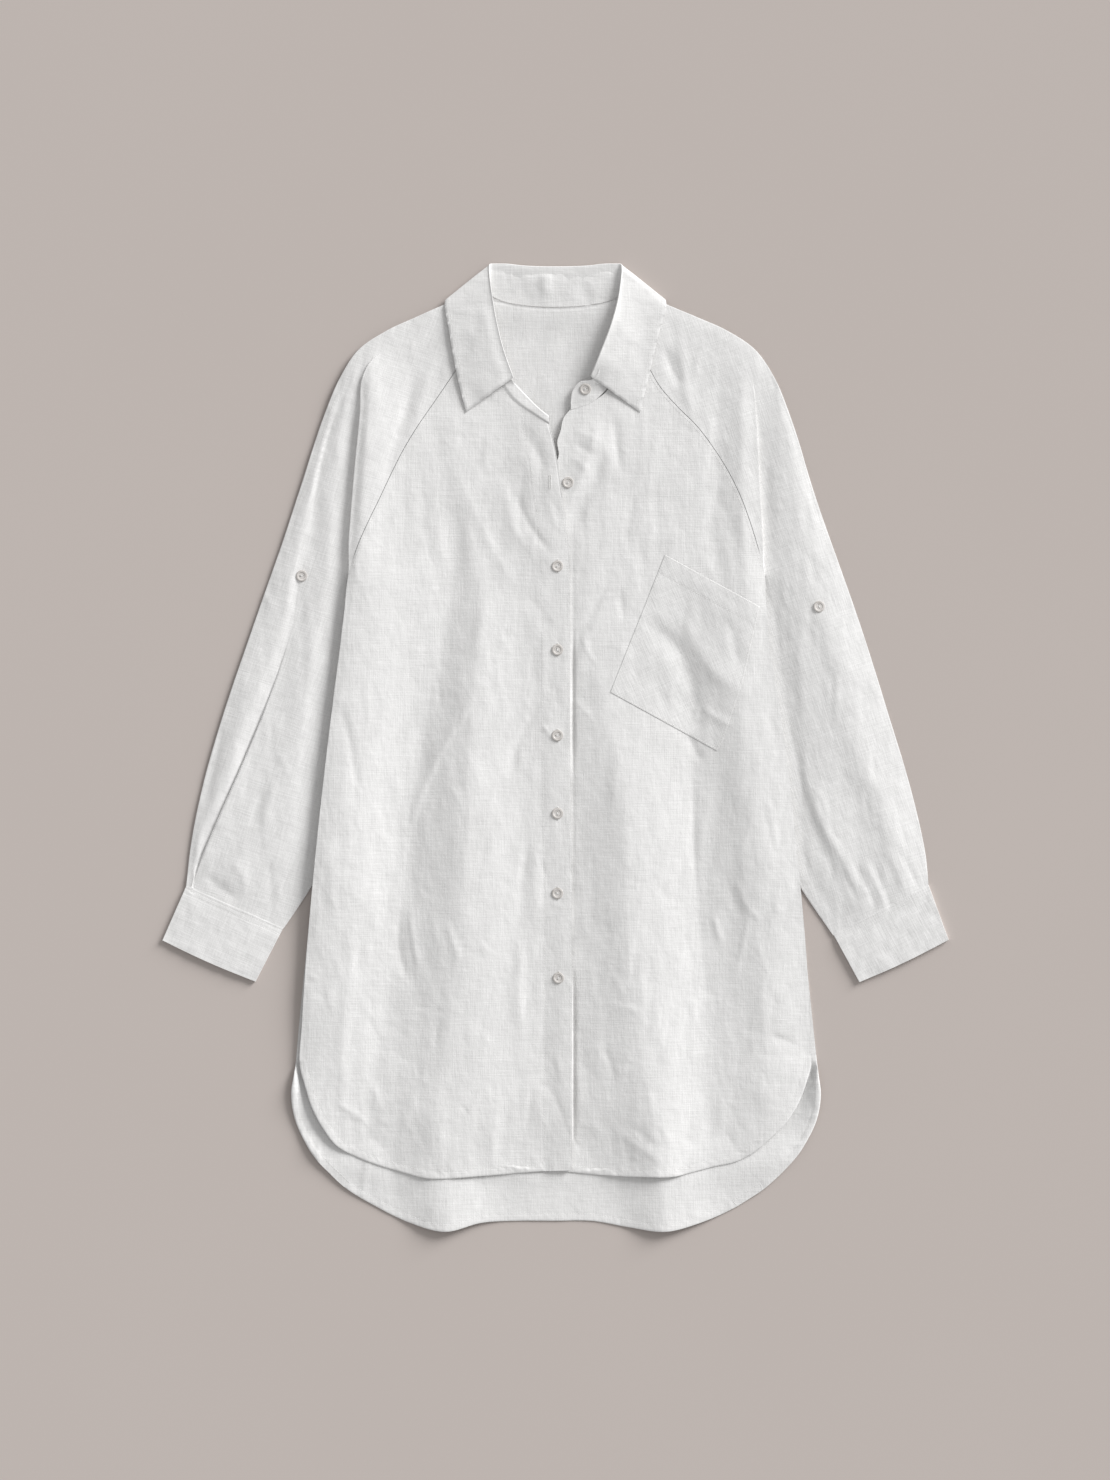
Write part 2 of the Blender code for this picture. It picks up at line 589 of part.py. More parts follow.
def neck_section(section):
    """One section: where the stand starts and ends, and the collar's points over its roll."""
    turn = np.radians(section.turn)
    seam = np.array([[section.base]], float)
    laid = eased(section.turn, 0, 90)
    height = (1 - laid) * (body_height(seam) + STAND_LIFT) + laid * (back_height(seam) + SEAM)
    base = np.append(seam, height)
    crest = np.array(section.crest, float)
    if section.edge is None:
        return base, crest, None
    inward = np.append(np.array(NECK_CENTRE) - crest[:2], 0)
    inward /= np.linalg.norm(inward)
    up = np.array([0, 0, 1])
    tip = np.cos(turn) * up - np.sin(turn) * inward
    across = np.cos(turn) * inward + np.sin(turn) * up
    radius = ROLL_FLAT + (ROLL_ROUND - ROLL_FLAT) * np.cos(turn)
    roll = [
        crest - radius * tip + radius * (np.sin(angle) * tip + np.cos(angle) * across)
        for angle in np.radians(ROLL_ANGLES)
    ]
    rise = roll[0] - base
    top = base + STAND_SHARE * rise
    turned = np.exp(-(((section.turn - TURNED_AT) / TURNED_WITHIN) ** 2))
    gap = COLLAR_SEAM + COLLAR_SEAM_TURNED * turned
    start = top + gap * rise / np.linalg.norm(rise)
    edge = np.array(section.edge, float)
    leaf = [roll[-1] + share * (edge - roll[-1]) for share in LEAF_SHARES]
    return base, top, np.array([start, *roll, *leaf])


def between(sections):
    """More sections, on smooth curves through the given ones."""
    columns = range(sections.shape[1])
    return np.stack([curve_through(sections[:, c], NECK_STEPS) for c in columns], axis=1)


def make_collar():
    """The stand round the neck, and the collar sewn to its top edge."""
    sections = [*NECK_SECTIONS["right"], NECK_BACK, *NECK_SECTIONS["left"][::-1]]
    made = [neck_section(section) for section in sections]
    stand = [np.linspace(base, top, 3) for base, top, _ in made]
    leaves = [leaf for _, _, leaf in made if leaf is not None]
    sew_grid("collar_stand", between(np.array(stand)), DOUBLED)
    sew_grid("collar", between(np.array(leaves)), DOUBLED)


def button_blank():
    """A round button turned from its profile, with a rim and a dished face."""
    floor = BUTTON_HEIGHT - BUTTON_DISH
    rim = BUTTON_RADIUS - BUTTON_RIM
    profile = (
        (0, 0),
        (BUTTON_RADIUS - BUTTON_BEVEL, 0),
        (BUTTON_RADIUS, BUTTON_BEVEL),
        (BUTTON_RADIUS, BUTTON_HEIGHT - BUTTON_BEVEL),
        (BUTTON_RADIUS - BUTTON_BEVEL, BUTTON_HEIGHT),
        (rim, BUTTON_HEIGHT),
        (rim - BUTTON_BEVEL, floor),
        (0, floor),
    )
    turned = bmesh.new()
    points = [turned.verts.new((r, 0, z)) for r, z in profile]
    edges = [turned.edges.new(pair) for pair in zip(points, points[1:])]
    full_turn = 2 * np.pi
    bmesh.ops.spin(
        turned, geom=points + edges, axis=(0, 0, 1), cent=(0, 0, 0), steps=BUTTON_SIDES, angle=full_turn
    )
    bmesh.ops.remove_doubles(turned, verts=turned.verts, dist=0.01)
    bmesh.ops.recalc_face_normals(turned, faces=turned.faces)
    return turned


def hole_cutters():
    """Two round pins through the button, one for each hole."""
    holes = bmesh.new()
    for place in (-HOLE_OFFSET, HOLE_OFFSET):
        bmesh.ops.create_cone(
            holes, cap_ends=True, segments=HOLE_SIDES, radius1=HOLE_RADIUS, radius2=HOLE_RADIUS,
            depth=4 * BUTTON_HEIGHT, matrix=Matrix.Translation((place, 0, 0)),
        )
    return holes


def button_mesh():
    """The mesh that every button shares."""
    helpers = []
    for name, shape in (("button_blank", button_blank()), ("button_holes", hole_cutters())):
        bmesh.ops.scale(shape, vec=(METRES,) * 3, verts=shape.verts)
        mesh = bpy.data.meshes.new(name)
        shape.to_mesh(mesh)
        shape.free()
        helper = bpy.data.objects.new(name, mesh)
        bpy.context.scene.collection.objects.link(helper)
        helpers.append(helper)
    blank, cutter = helpers
    cut = blank.modifiers.new("holes", "BOOLEAN")
    cut.operation = "DIFFERENCE"
    cut.object = cutter
    state = bpy.context.evaluated_depsgraph_get()
    finished = bpy.data.meshes.new_from_object(blank.evaluated_get(state))
    finished.shade_smooth()
    finished.set_sharp_from_angle(angle=np.radians(40))
    finished.materials.append(material("button_shell", SHELL, 0.35))
    for helper in helpers:
        bpy.data.objects.remove(helper)
    return finished


def sew_on(button, mesh):
    """Lays a button on its host, tilted with the cloth and clear of it all round."""
    cloth = bpy.data.objects[button.host].data
    tree = BVHTree.FromPolygons([v.co for v in cloth.vertices], [f.vertices[:] for f in cloth.polygons])
    centre = Vector((*button.place, 0)) * METRES
    high = Vector((0, 0, 1))
    offsets = [Vector()] + [
        Vector((np.cos(angle), np.sin(angle), 0)) * BUTTON_RADIUS * METRES
        for angle in np.linspace(0, 2 * np.pi, SEAT_POINTS, endpoint=False)
    ]
    hits = [tree.ray_cast(centre + offset + high, -high) for offset in offsets]
    middle = hits[0][0]
    normal = sum((hit[1] for hit in hits), Vector()).normalized()
    lift = max((hit[0] - middle).dot(normal) for hit in hits) + SEAM * METRES
    turn = Matrix.Rotation(np.radians(button.turn), 3, "Z").to_quaternion()
    made = bpy.data.objects.new(button.name, mesh)
    made.rotation_mode = "QUATERNION"
    made.rotation_quaternion = high.rotation_difference(normal) @ turn
    made.location = middle + normal * lift
    bpy.context.scene.collection.objects.link(made)


for leftover in list(bpy.data.objects):
    bpy.data.objects.remove(leftover)

make_back()
make_right_front()
make_left_front()
for wearers_side in ("right", "left"):
    make_back_sleeve(wearers_side)
    make_front_sleeve(wearers_side)
    make_cuff(wearers_side)
make_collar()

shared_mesh = button_mesh()
for row in BUTTONS:
    sew_on(row, shared_mesh)
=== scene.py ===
from collections import namedtuple

import bmesh
import bpy
import numpy as np
from mathutils import Matrix, Vector
from mathutils.bvhtree import BVHTree
from mathutils.geometry import delaunay_2d_cdt
from mathutils.kdtree import KDTree


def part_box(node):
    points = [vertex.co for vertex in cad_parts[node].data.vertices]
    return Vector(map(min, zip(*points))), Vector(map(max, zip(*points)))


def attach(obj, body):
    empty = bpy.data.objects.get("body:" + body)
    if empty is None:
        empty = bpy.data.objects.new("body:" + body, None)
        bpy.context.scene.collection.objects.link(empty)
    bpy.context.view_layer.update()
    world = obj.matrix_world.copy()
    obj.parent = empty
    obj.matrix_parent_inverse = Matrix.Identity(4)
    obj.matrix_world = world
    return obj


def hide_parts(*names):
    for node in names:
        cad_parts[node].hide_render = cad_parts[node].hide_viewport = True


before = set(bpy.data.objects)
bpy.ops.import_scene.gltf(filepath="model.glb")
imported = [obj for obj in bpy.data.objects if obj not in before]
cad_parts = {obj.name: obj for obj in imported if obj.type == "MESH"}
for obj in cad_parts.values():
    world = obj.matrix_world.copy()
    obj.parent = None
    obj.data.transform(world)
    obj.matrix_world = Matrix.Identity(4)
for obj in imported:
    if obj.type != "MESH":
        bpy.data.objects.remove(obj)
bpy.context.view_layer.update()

# The shirt lies on its back with the neck towards +Y. The wearer's right is -X. Sizes in this
# file are in millimetres, and a piece's points are turned to metres when its mesh is made.

# ---- Back panel ----
# The real piece is one layer of washed linen cut in one piece from the neck to the tail, with
# its round tail hem turned up twice and stitched. It lies flat on the table under all the rest.

MM = 0.001


def eased(value, start, end):
    """0 at start, 1 at end, with a soft change between them."""
    share = np.clip((value - start) / (end - start), 0, 1)
    return share * share * (3 - 2 * share)


def evenly(line, spacing):
    """A line as even steps of about the given length."""
    line = np.array(line, float)
    length = np.concatenate([[0], np.cumsum(np.linalg.norm(np.diff(line, axis=0), axis=1))])
    wanted = np.linspace(0, length[-1], max(int(round(length[-1] / spacing)), 1) + 1)
    return np.column_stack([np.interp(wanted, length, axis) for axis in line.T])


def curve(points, spacing):
    """A smooth line through given points, in even steps."""
    points = np.array(points, float)
    ends = np.vstack([2 * points[0] - points[1], points, 2 * points[-1] - points[-2]])
    t = np.linspace(0, 1, 12, endpoint=False)[:, None]
    runs = []
    for a, b, c, d in zip(ends, ends[1:], ends[2:], ends[3:]):
        bend = (2 * a - 5 * b + 4 * c - d) * t**2 + (3 * b - a - 3 * c + d) * t**3
        runs.append(b + 0.5 * ((c - a) * t + bend))
    return evenly(np.vstack([*runs, points[-1:]]), spacing)


CORNER_TURN = 34  # an outline that turns more than this many degrees has a corner there


def outline(node):
    """A CAD sheet's edge seen from above, anticlockwise and smooth between its corners."""
    work = bmesh.new()
    work.from_mesh(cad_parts[node].data)
    bmesh.ops.remove_doubles(work, verts=work.verts, dist=2e-6)
    after = {}
    for face in work.faces:
        if face.normal.z < 0.05:
            continue
        for loop in face.loops:
            if all(other == face or other.normal.z < 0.05 for other in loop.edge.link_faces):
                after[loop.vert.index] = loop.link_loop_next.vert.index
    work.verts.ensure_lookup_table()
    rings = []
    while after:
        ring = [next(iter(after))]
        while ring[-1] in after:
            ring.append(after.pop(ring[-1]))
        rings.append(ring[:-1])
    ring = max(rings, key=len)
    points = np.array([work.verts[i].co[:2] for i in ring]) / MM
    work.free()
    steps = np.roll(points, -1, axis=0) - points
    heading = np.arctan2(steps[:, 1], steps[:, 0])
    turn = (heading - np.roll(heading, 1) + np.pi) % (2 * np.pi) - np.pi
    corners = np.flatnonzero(np.abs(turn) > np.radians(CORNER_TURN))
    points = np.roll(points, -corners[0], axis=0)
    corners = [*(corners - corners[0]), len(points)]
    points = np.vstack([points, points[:1]])
    runs = [curve(points[a:b + 1], 2.0)[:-1] for a, b in zip(corners, corners[1:])]
    return np.vstack(runs)


def part_of(edge, start, end):
    """The part of an outline from near one place, anticlockwise, to near another."""
    first = np.linalg.norm(edge - start, axis=1).argmin()
    rest = np.roll(edge, -first, axis=0)
    last = np.linalg.norm(rest - end, axis=1).argmin()
    return rest[:last + 1]


def looped(edge):
    """An outline with its first point again at its end."""
    return np.vstack([edge, edge[:1]])


def beside(points, path, reach):
    """Distance of points from a line seen from above, above zero on the line's left; how far
    along it they lie, in millimetres; and the direction to that left side."""
    away = np.full(len(points), float(reach))
    side = np.ones(len(points))
    along = np.zeros(len(points))
    left = np.zeros((len(points), 2))
    travelled = 0.0
    for start, end in zip(path[:-1], path[1:]):
        low = np.minimum(start, end) - reach
        high = np.maximum(start, end) + reach
        near = np.flatnonzero(((points > low) & (points < high)).all(axis=1))
        run = end - start
        length = np.linalg.norm(run)
        offset = points[near] - start
        share = np.clip(offset @ run / length**2, 0, 1)
        gap = np.linalg.norm(offset - share[:, None] * run, axis=1)
        nearer = gap < away[near]
        near, offset, share, gap = near[nearer], offset[nearer], share[nearer], gap[nearer]
        away[near] = gap
        side[near] = np.where(run[0] * offset[:, 1] - run[1] * offset[:, 0] >= 0, 1, -1)
        along[near] = travelled + share * length
        left[near] = np.array([-run[1], run[0]]) / length
        travelled += length
    return away * side, along, left


def surface(low, step, values):
    """A smooth function of points through a grid of values that starts at low."""
    low, step = np.array(low, float), np.array(step, float)

    def at(points):
        place = (points - low) / step
        near = np.clip(np.rint(place).astype(int), 1, np.array(values.shape)[::-1] - 2)
        t = np.clip(place - near, -0.5, 0.5)
        weights = [0.5 * (0.5 - t) ** 2, 0.75 - t**2, 0.5 * (0.5 + t) ** 2]
        total = np.zeros(len(points))
        for i, across in enumerate(weights):
            for j, down in enumerate(weights):
                cell = values[near[:, 1] + j - 1, near[:, 0] + i - 1]
                total += across[:, 0] * down[:, 1] * cell
        return total

    return at


def blurred(values, cells):
    """Values of a grid, spread over this many cells."""
    reach = np.arange(-int(3 * cells), int(3 * cells) + 1)
    kernel = np.exp(-0.5 * (reach / cells) ** 2)
    kernel /= kernel.sum()
    for axis in (0, 1):
        values = np.apply_along_axis(np.convolve, axis, values, kernel, mode="same")
    return values


def level(nodes, inside=None, blur=9.0):
    """How high some CAD solids lie, smoothed, as a function of points seen from above."""
    step = 3.0
    work = bmesh.new()
    for name in nodes:
        work.from_mesh(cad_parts[name].data)
    tree = BVHTree.FromBMesh(work)
    work.free()
    low = np.min([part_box(name)[0][:2] for name in nodes], axis=0) / MM - 12
    high = np.max([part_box(name)[1][:2] for name in nodes], axis=0) / MM + 12
    x, y = np.meshgrid(np.arange(low[0], high[0], step), np.arange(low[1], high[1], step))
    flat = np.column_stack([x.ravel(), y.ravel()])
    wanted = np.ones(len(flat), bool) if inside is None else inside(flat)
    height = np.zeros(len(flat))
    for i in np.flatnonzero(wanted):
        hit = tree.ray_cast(Vector((*flat[i] * MM, 1)), Vector((0, 0, -1)))[0]
        wanted[i] = hit is not None
        height[i] = hit.z / MM if hit else 0
    weight = blurred(wanted.reshape(x.shape).astype(float), blur / step)
    total = blurred(np.where(wanted, height, 0).reshape(x.shape), blur / step)
    known = weight > 1e-4
    filled = np.where(known, total / np.maximum(weight, 1e-4), total.sum() / weight.sum())
    return surface(low, (step, step), filled)


def rumple(seed, across, down):
    """Soft random waves of about the given sizes, as a function of points seen from above."""
    rng = np.random.default_rng(seed)
    step = np.array([across, down]) / 2
    count = (np.array([900, 1100]) / step).astype(int) + 4
    return surface((-450, -550), step, rng.normal(0, 1, count[::-1]))


def crumple(points, seed, count, low, high, length, depth, grain=90.0, spread=20.0):
    """The short soft creases that washed linen keeps, scattered about the grain's direction."""
    rng = np.random.default_rng(seed)
    total = np.zeros(len(points))
    for _ in range(count):
        middle = rng.uniform(low, high)
        angle = np.radians(rng.normal(grain, spread))
        half = rng.uniform(*length) / 2
        height = rng.normal(0, depth)
        width = rng.uniform(1.8, 4.5)
        bend = rng.normal(0, 0.004)
        near = np.flatnonzero(np.abs(points - middle).max(axis=1) < half + 3 * width)
        offset = points[near] - middle
        u = offset @ (np.cos(angle), np.sin(angle))
        v = offset @ (-np.sin(angle), np.cos(angle)) - bend * u**2
        fade = 1 - eased(np.abs(u), 0.3 * half, half)
        total[near] += height * fade * np.exp(-np.abs(v / width) ** 1.5)
    return total


def form(points, lines):
    """Broad soft flutes. Each line is a crest or a hollow, drawn as (across, down, height) from
    the neck downwards, and the cloth slopes evenly from each line to the next."""
    across, height = [], []
    for line in lines:
        run = curve(line, 6.0)[::-1]
        across.append(np.interp(points[:, 1], run[:, 1], run[:, 0]))
        height.append(np.interp(points[:, 1], run[:, 1], run[:, 2]))
    total = height[0]
    for west, east, low, high in zip(across, across[1:], height, height[1:]):
        share = np.clip((points[:, 0] - west) / np.maximum(east - west, 1), 0, 1)
        share = 0.45 * share + 0.55 * eased(share, 0, 1)
        total = np.where(points[:, 0] >= west, low + (high - low) * share, total)
    return total


def ridge(distance, at, width):
    """The height of a soft ridge, 1 on its crest, that runs this far from a line."""
    return np.exp(-(((distance - at) / width) ** 2))


def softened(distance, drop, width):
    """How far a rounded edge has fallen at a distance from it."""
    return drop * (1 - eased(distance, 0, width))


STITCHED = 7.2  # how far in from its edge a hem is stitched


def hemmed(points, path, seed):
    """The relief of a narrow hem, folded twice and stitched down."""
    distance, along, _ = beside(points, path, 16)
    slant = np.column_stack([(along + 0.9 * distance) * 0.2, distance * 0.08])
    ripple = rumple(seed, 1.0, 1.0)(slant - (200, 0))
    relief = 0.1 * (1 - eased(distance, 6.5, 9.5))
    relief -= 0.12 * ridge(distance, STITCHED, 0.9)
    relief += 0.12 * ripple * ridge(distance, 5.5, 3.5)
    return relief - softened(distance, 0.3, 0.8)


def both_faces(places, upper, under):
    """The points of a sheet's upper face and of its under face."""
    return np.column_stack([places, upper]), np.column_stack([places, under])


def new_object(name, points, faces):
    """A piece from its points in millimetres, smooth shaded."""
    mesh = bpy.data.meshes.new(name)
    mesh.from_pydata((np.array(points) * MM).tolist(), [], faces)
    mesh.validate()
    mesh.shade_smooth()
    mesh.set_sharp_from_angle(angle=np.radians(50))
    piece = bpy.data.objects.new(name, mesh)
    bpy.context.scene.collection.objects.link(piece)
    return piece


def search_tree(points):
    """Points seen from above, kept so that the nearest to a place is found fast."""
    tree = KDTree(len(points))
    for i, point in enumerate(points):
        tree.insert((*point, 0), i)
    tree.balance()
    return tree


def clear_of(tree, points, gap):
    """Those of the points that are farther than a gap from all in a tree."""
    return points[[tree.find((*point, 0))[2] > gap for point in points]]


def cloth(name, edge, place, thickness, spacing, insets=(0.4, 1.1), lines=()):
    """A thin closed shell of the outline's shape. place gives the points of its upper face
    their places, and lines are runs of points that the mesh follows closely."""
    after = np.roll(edge, -1, axis=0) - np.roll(edge, 1, axis=0)
    inward = np.column_stack([-after[:, 1], after[:, 0]])
    inward /= np.linalg.norm(inward, axis=1)[:, None]
    edge_tree = search_tree(edge)
    rows = [clear_of(edge_tree, edge + inset * inward, 0.85 * inset) for inset in insets]
    fine = np.vstack([edge, *rows, *[clear_of(edge_tree, line, 0.8) for line in lines]])
    low, high = edge.min(axis=0), edge.max(axis=0)
    x, y = np.meshgrid(np.arange(low[0], high[0], spacing), np.arange(low[1], high[1], spacing * 0.866))
    x[1::2] += spacing / 2
    grid = np.column_stack([x.ravel(), y.ravel()])
    points = np.vstack([fine, clear_of(search_tree(fine), grid, 0.62 * spacing)])
    ring = [(i, (i + 1) % len(edge)) for i in range(len(edge))]
    made = delaunay_2d_cdt([Vector(point) for point in points], ring, [], 1, 1e-4)
    flat = np.array([point[:] for point in made[0]])
    faces = np.array(made[2])
    used = np.unique(faces)
    renumbered = np.zeros(len(flat), int)
    renumbered[used] = np.arange(len(used))
    flat, faces = flat[used], renumbered[faces]
    a, b, c = (flat[faces[:, i]] for i in range(3))
    ab, ac = b - a, c - a
    turned = ab[:, 0] * ac[:, 1] - ab[:, 1] * ac[:, 0] < 0
    faces[turned] = faces[turned][:, ::-1]
    upper, under = place(flat, thickness)
    sides = np.vstack([faces[:, [0, 1]], faces[:, [1, 2]], faces[:, [2, 0]]])
    known = {tuple(side) for side in sides.tolist()}
    border = [(p, q) for p, q in known if (q, p) not in known]
    count = len(flat)
    walls = [(q, p, p + count, q + count) for p, q in border]
    faces = [*faces.tolist(), *(faces[:, ::-1] + count).tolist(), *walls]
    return new_object(name, np.vstack([upper, under]), faces)


def dress(piece, replaced, material, slot, **sheet):
    """Hands a finished piece to the frame: its material and what it stands for. slot and the sheet's facts
    are not used.
    """
    piece.data.materials.append(material)
    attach(piece, "root")
    if replaced:
        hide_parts(*replaced)


def linear(code):
    """An sRGB hex colour as the linear colour that a shader takes."""
    values = [int(code[i:i + 2], 16) / 255 for i in (1, 3, 5)]
    return (*[v / 12.92 if v <= 0.04045 else ((v + 0.055) / 1.055) ** 2.4 for v in values], 1)


def fill_in(node, inputs):
    """Sets a node's inputs, or links those whose value is another node's output."""
    for socket, value in inputs.items():
        if isinstance(value, bpy.types.NodeSocket):
            node.id_data.links.new(value, node.inputs[socket])
        else:
            node.inputs[socket].default_value = value


def add(tree, kind, inputs=None, **settings):
    """A node with its settings, and its inputs set or linked."""
    made = tree.nodes.new("ShaderNode" + kind)
    for name, value in settings.items():
        setattr(made, name, value)
    fill_in(made, inputs or {})
    return made


def new_material(name):
    """An empty material, its node tree and its shader."""
    made = bpy.data.materials.new(name)
    made.use_nodes = True
    return made, made.node_tree, made.node_tree.nodes["Principled BSDF"]


def washed_linen(name, grain):
    """Washed white linen, plain weave of 0.6 mm uneven yarns: matt, with slubs along both
    yarn directions, faint cloudy mottling and small dry crumples. grain turns the warp."""
    made, tree, shader = new_material(name)
    turned = add(tree, "Mapping", {
        "Vector": add(tree, "TexCoord").outputs["Object"],
        "Rotation": (0, 0, np.radians(grain)), "Scale": (1 / MM, 1 / MM, 1 / MM),
    }).outputs[0]
    clouds = {}
    for kind, size, detail, rough in (
        ("warp", (1.1, 22, 9), 2, 0.5), ("weft", (22, 1.1, 9), 2, 0.5),
        ("crumple", (7, 11, 9), 4, 0.6), ("mottle", (16, 24, 20), 3, 0.5),
    ):
        place = add(tree, "Mapping", {"Vector": turned, "Scale": 1 / np.array(size)})
        clouds[kind] = add(tree, "TexNoise", {
            "Vector": place.outputs[0], "Scale": 1, "Detail": detail, "Roughness": rough,
        }).outputs["Fac"]
    yarns = add(tree, "Mapping", {"Vector": turned, "Scale": np.full(3, np.pi / 0.6)})
    split = add(tree, "SeparateXYZ", {0: yarns.outputs[0]})
    over, under = (add(tree, "Math", {0: split.outputs[i]}, operation="SINE").outputs[0]
                   for i in (0, 1))
    weave = add(tree, "Math", {0: over, 1: under}, operation="MULTIPLY").outputs[0]

    def blend(*shares):
        total = 0
        for amount, value in shares:
            total = add(tree, "Math", {0: value, 1: amount, 2: total},
                        operation="MULTIPLY_ADD").outputs[0]
        return total

    slubs = blend((0.5, clouds["warp"]), (0.5, clouds["weft"]))
    ramp = add(tree, "ValToRGB", {0: blend((0.75, slubs), (0.25, clouds["mottle"]))})
    for stop, position, colour in zip(ramp.color_ramp.elements, (0.33, 0.67), ("#d7d6d5", "#eae9e8")):
        stop.position, stop.color = position, linear(colour)
    height = blend((0.27, slubs), (0.4, clouds["crumple"]), (0.04, weave))
    relief = add(tree, "Bump", {"Height": height, "Distance": MM, "Strength": 1})
    fill_in(shader, {
        "Base Color": ramp.outputs[0], "Normal": relief.outputs[0], "Roughness": 0.9,
        "Specular IOR Level": 0.2, "Sheen Weight": 0.08, "Sheen Roughness": 0.5,
    })
    return made


body_linen = washed_linen("washed_linen_body", 0)

back_level = level(["back"], blur=7.0)
back_edge = outline("back")
tail_hem = part_of(back_edge, (-271, -334), (273, -336))
neck_seam = part_of(back_edge, (70, 470), (-70, 470))
back_waves = rumple(11, 26, 60)

# The tail's two broad lobes, which lift off the table below the fronts' hems.
TAIL_FORM = (
    ((-250, -400, 0), (-250, -430, 1.2), (-250, -470, 0.4), (-250, -520, 0)),
    ((-168, -400, 0), (-168, -430, 1.6), (-168, -470, 0.4), (-168, -520, 0)),
    ((-112, -400, 0), (-112, -430, 3.4), (-112, -475, 4.4), (-112, -530, 4.8)),
    ((-52, -400, 0), (-52, -430, 1.8), (-52, -465, 0.4), (-50, -505, 0)),
    ((64, -400, 0), (64, -430, 1.0), (66, -465, 0), (68, -505, 0)),
    ((114, -400, 0), (114, -430, 4.0), (114, -475, 5.0), (114, -530, 5.2)),
    ((176, -400, 0), (176, -430, 1.8), (178, -470, 0.6), (180, -530, 0)),
    ((250, -400, 0), (250, -430, 1.2), (250, -470, 0.6), (250, -520, 0)),
)
# The fronts' hems lie on the back, so they are needed here already.
front_hems = dict(
    right=part_of(outline("front_right"), (-266, -328), (17, -440)),
    left=part_of(outline("front_left"), (-15, -439), (266, -328)),
)


def back_height(points):
    """The back's upper face: its tail curls up just below the fronts' hems."""
    height = back_level(points) + 0.2 * back_waves(points) + form(points, TAIL_FORM)
    height += 0.7 * eased(points[:, 1], 425, 452)
    down = points[:, 1]
    curl = 5.0 * eased(down, -322, -334) * eased(down, -460, -420)
    curl *= 1 - 0.6 * eased(down, -346, -400)
    reach = 9 + 16 * eased(down, -336, -400)
    for hem in front_hems.values():
        height += curl * eased(-beside(points, hem, 60)[0] / reach, 0, 1)
    return height + crumple(points, 12, 300, (-270, -500), (270, 430), (18, 60), 0.2)


def back_place(points, thickness):
    height = back_height(points)
    at_vent = eased(points[:, 1], -450, -400)
    upper = height + hemmed(points, tail_hem, 13) * (1 + 1.8 * at_vent)
    upper -= 0.35 * ridge(beside(points, neck_seam, 6)[0], 1.1, 0.6)
    return both_faces(points, upper, np.maximum(np.minimum(height - thickness, upper - 0.2), 0))


back = cloth("back_panel", back_edge, back_place, 0.9, 4.0, (0.4, 1.1, 2.6, 4.4, 6.2, 7.2, 8.2, 10))
dress(back, ["back"], body_linen, "linen", flat=(0.56, 0.97), area=0.42, held="laid")

# ---- Sleeves, back halves ----
# The real pieces are the halves of the two raglan sleeves that lie on the table, one layer of
# linen each, sewn to the back along the raglan seam and to the front halves along both edges.

for side, turn in (("right", 18), ("left", -18)):
    node = "sleeve_back_" + side
    lower_level = level([node], blur=6.0)
    lower_edge = outline(node)

    def lower_place(points, thickness):
        height = lower_level(points)
        distance = beside(points, looped(lower_edge), 8)[0]
        under = np.maximum(height - thickness, 0) + softened(distance, 0.5, 2.0)
        return both_faces(points, np.maximum(height, under + 0.3), under)

    piece = cloth("back_sleeve_" + side, lower_edge, lower_place, 0.9, 5.0)
    dress(piece, [node], washed_linen(f"washed_linen_{side}_sleeve", turn), "linen",
          flat=(0.19, 0.72), area=0.075, held="laid")

# ---- Fronts ----
# The real pieces are the right and left fronts, one layer of linen each, sewn to the back at
# the sides down to the vents. The right front laps over the left. Each keeps long soft folds
# from lying, creases that pull towards its buttons, and small washed-in crumples.

# The crest of each deep fold, from the neck to the armpit, and each side, from there down.
PLEAT = dict(
    right=((-79, 456), (-125, 430), (-178, 412), (-199, 385), (-202, 345), (-208, 283), (-212.6, 225),
           (-214.4, 200), (-215.2, 179)),
    left=((82, 456), (127, 430), (180, 412), (203, 388), (207, 345), (210.5, 280), (213.5, 225),
          (215.4, 200), (217.2, 181)),
)
SIDE = dict(
    right=((-215.2, 179), (-223, 109), (-231, 47), (-241, -36), (-250, -120), (-259, -220), (-266, -330),
           (-280, -470)),
    left=((217.2, 181), (222, 109), (232, 47), (243, -36), (252, -120), (261, -220), (266, -330),
          (280, -470)),
)


def on_body(side):
    """Whether points lie on the body's side of the sleeve's deep fold and of the side seam."""
    line = np.vstack([curve(PLEAT[side], 8), curve(SIDE[side], 8)[1:]])

    def inside(points):
        away = beside(points, line, 900)[0]
        return away > 3 if side == "right" else away < -3

    return inside


# A fold's crest line is drawn from the neck downwards. Its height is below zero for a trough,
# and its two half widths are those on the wearer's left and on the wearer's right.
Fold = namedtuple("Fold", "height left right path")


def folds(points, table):
    """The heights of listed folds, added together."""
    total = np.zeros(len(points))
    for fold in table:
        path = curve(fold.path, 5.0)
        away, along, _ = beside(points, path, 3 * max(fold.left, fold.right))
        length = np.linalg.norm(np.diff(path, axis=0), axis=1).sum()
        fade = eased(along, 0, 0.3 * length) * eased(length - along, 0, 0.3 * length)
        width = np.where(away > 0, fold.left, fold.right)
        total += fold.height * fade * np.exp(-np.abs(away / width) ** 1.7)
    return total


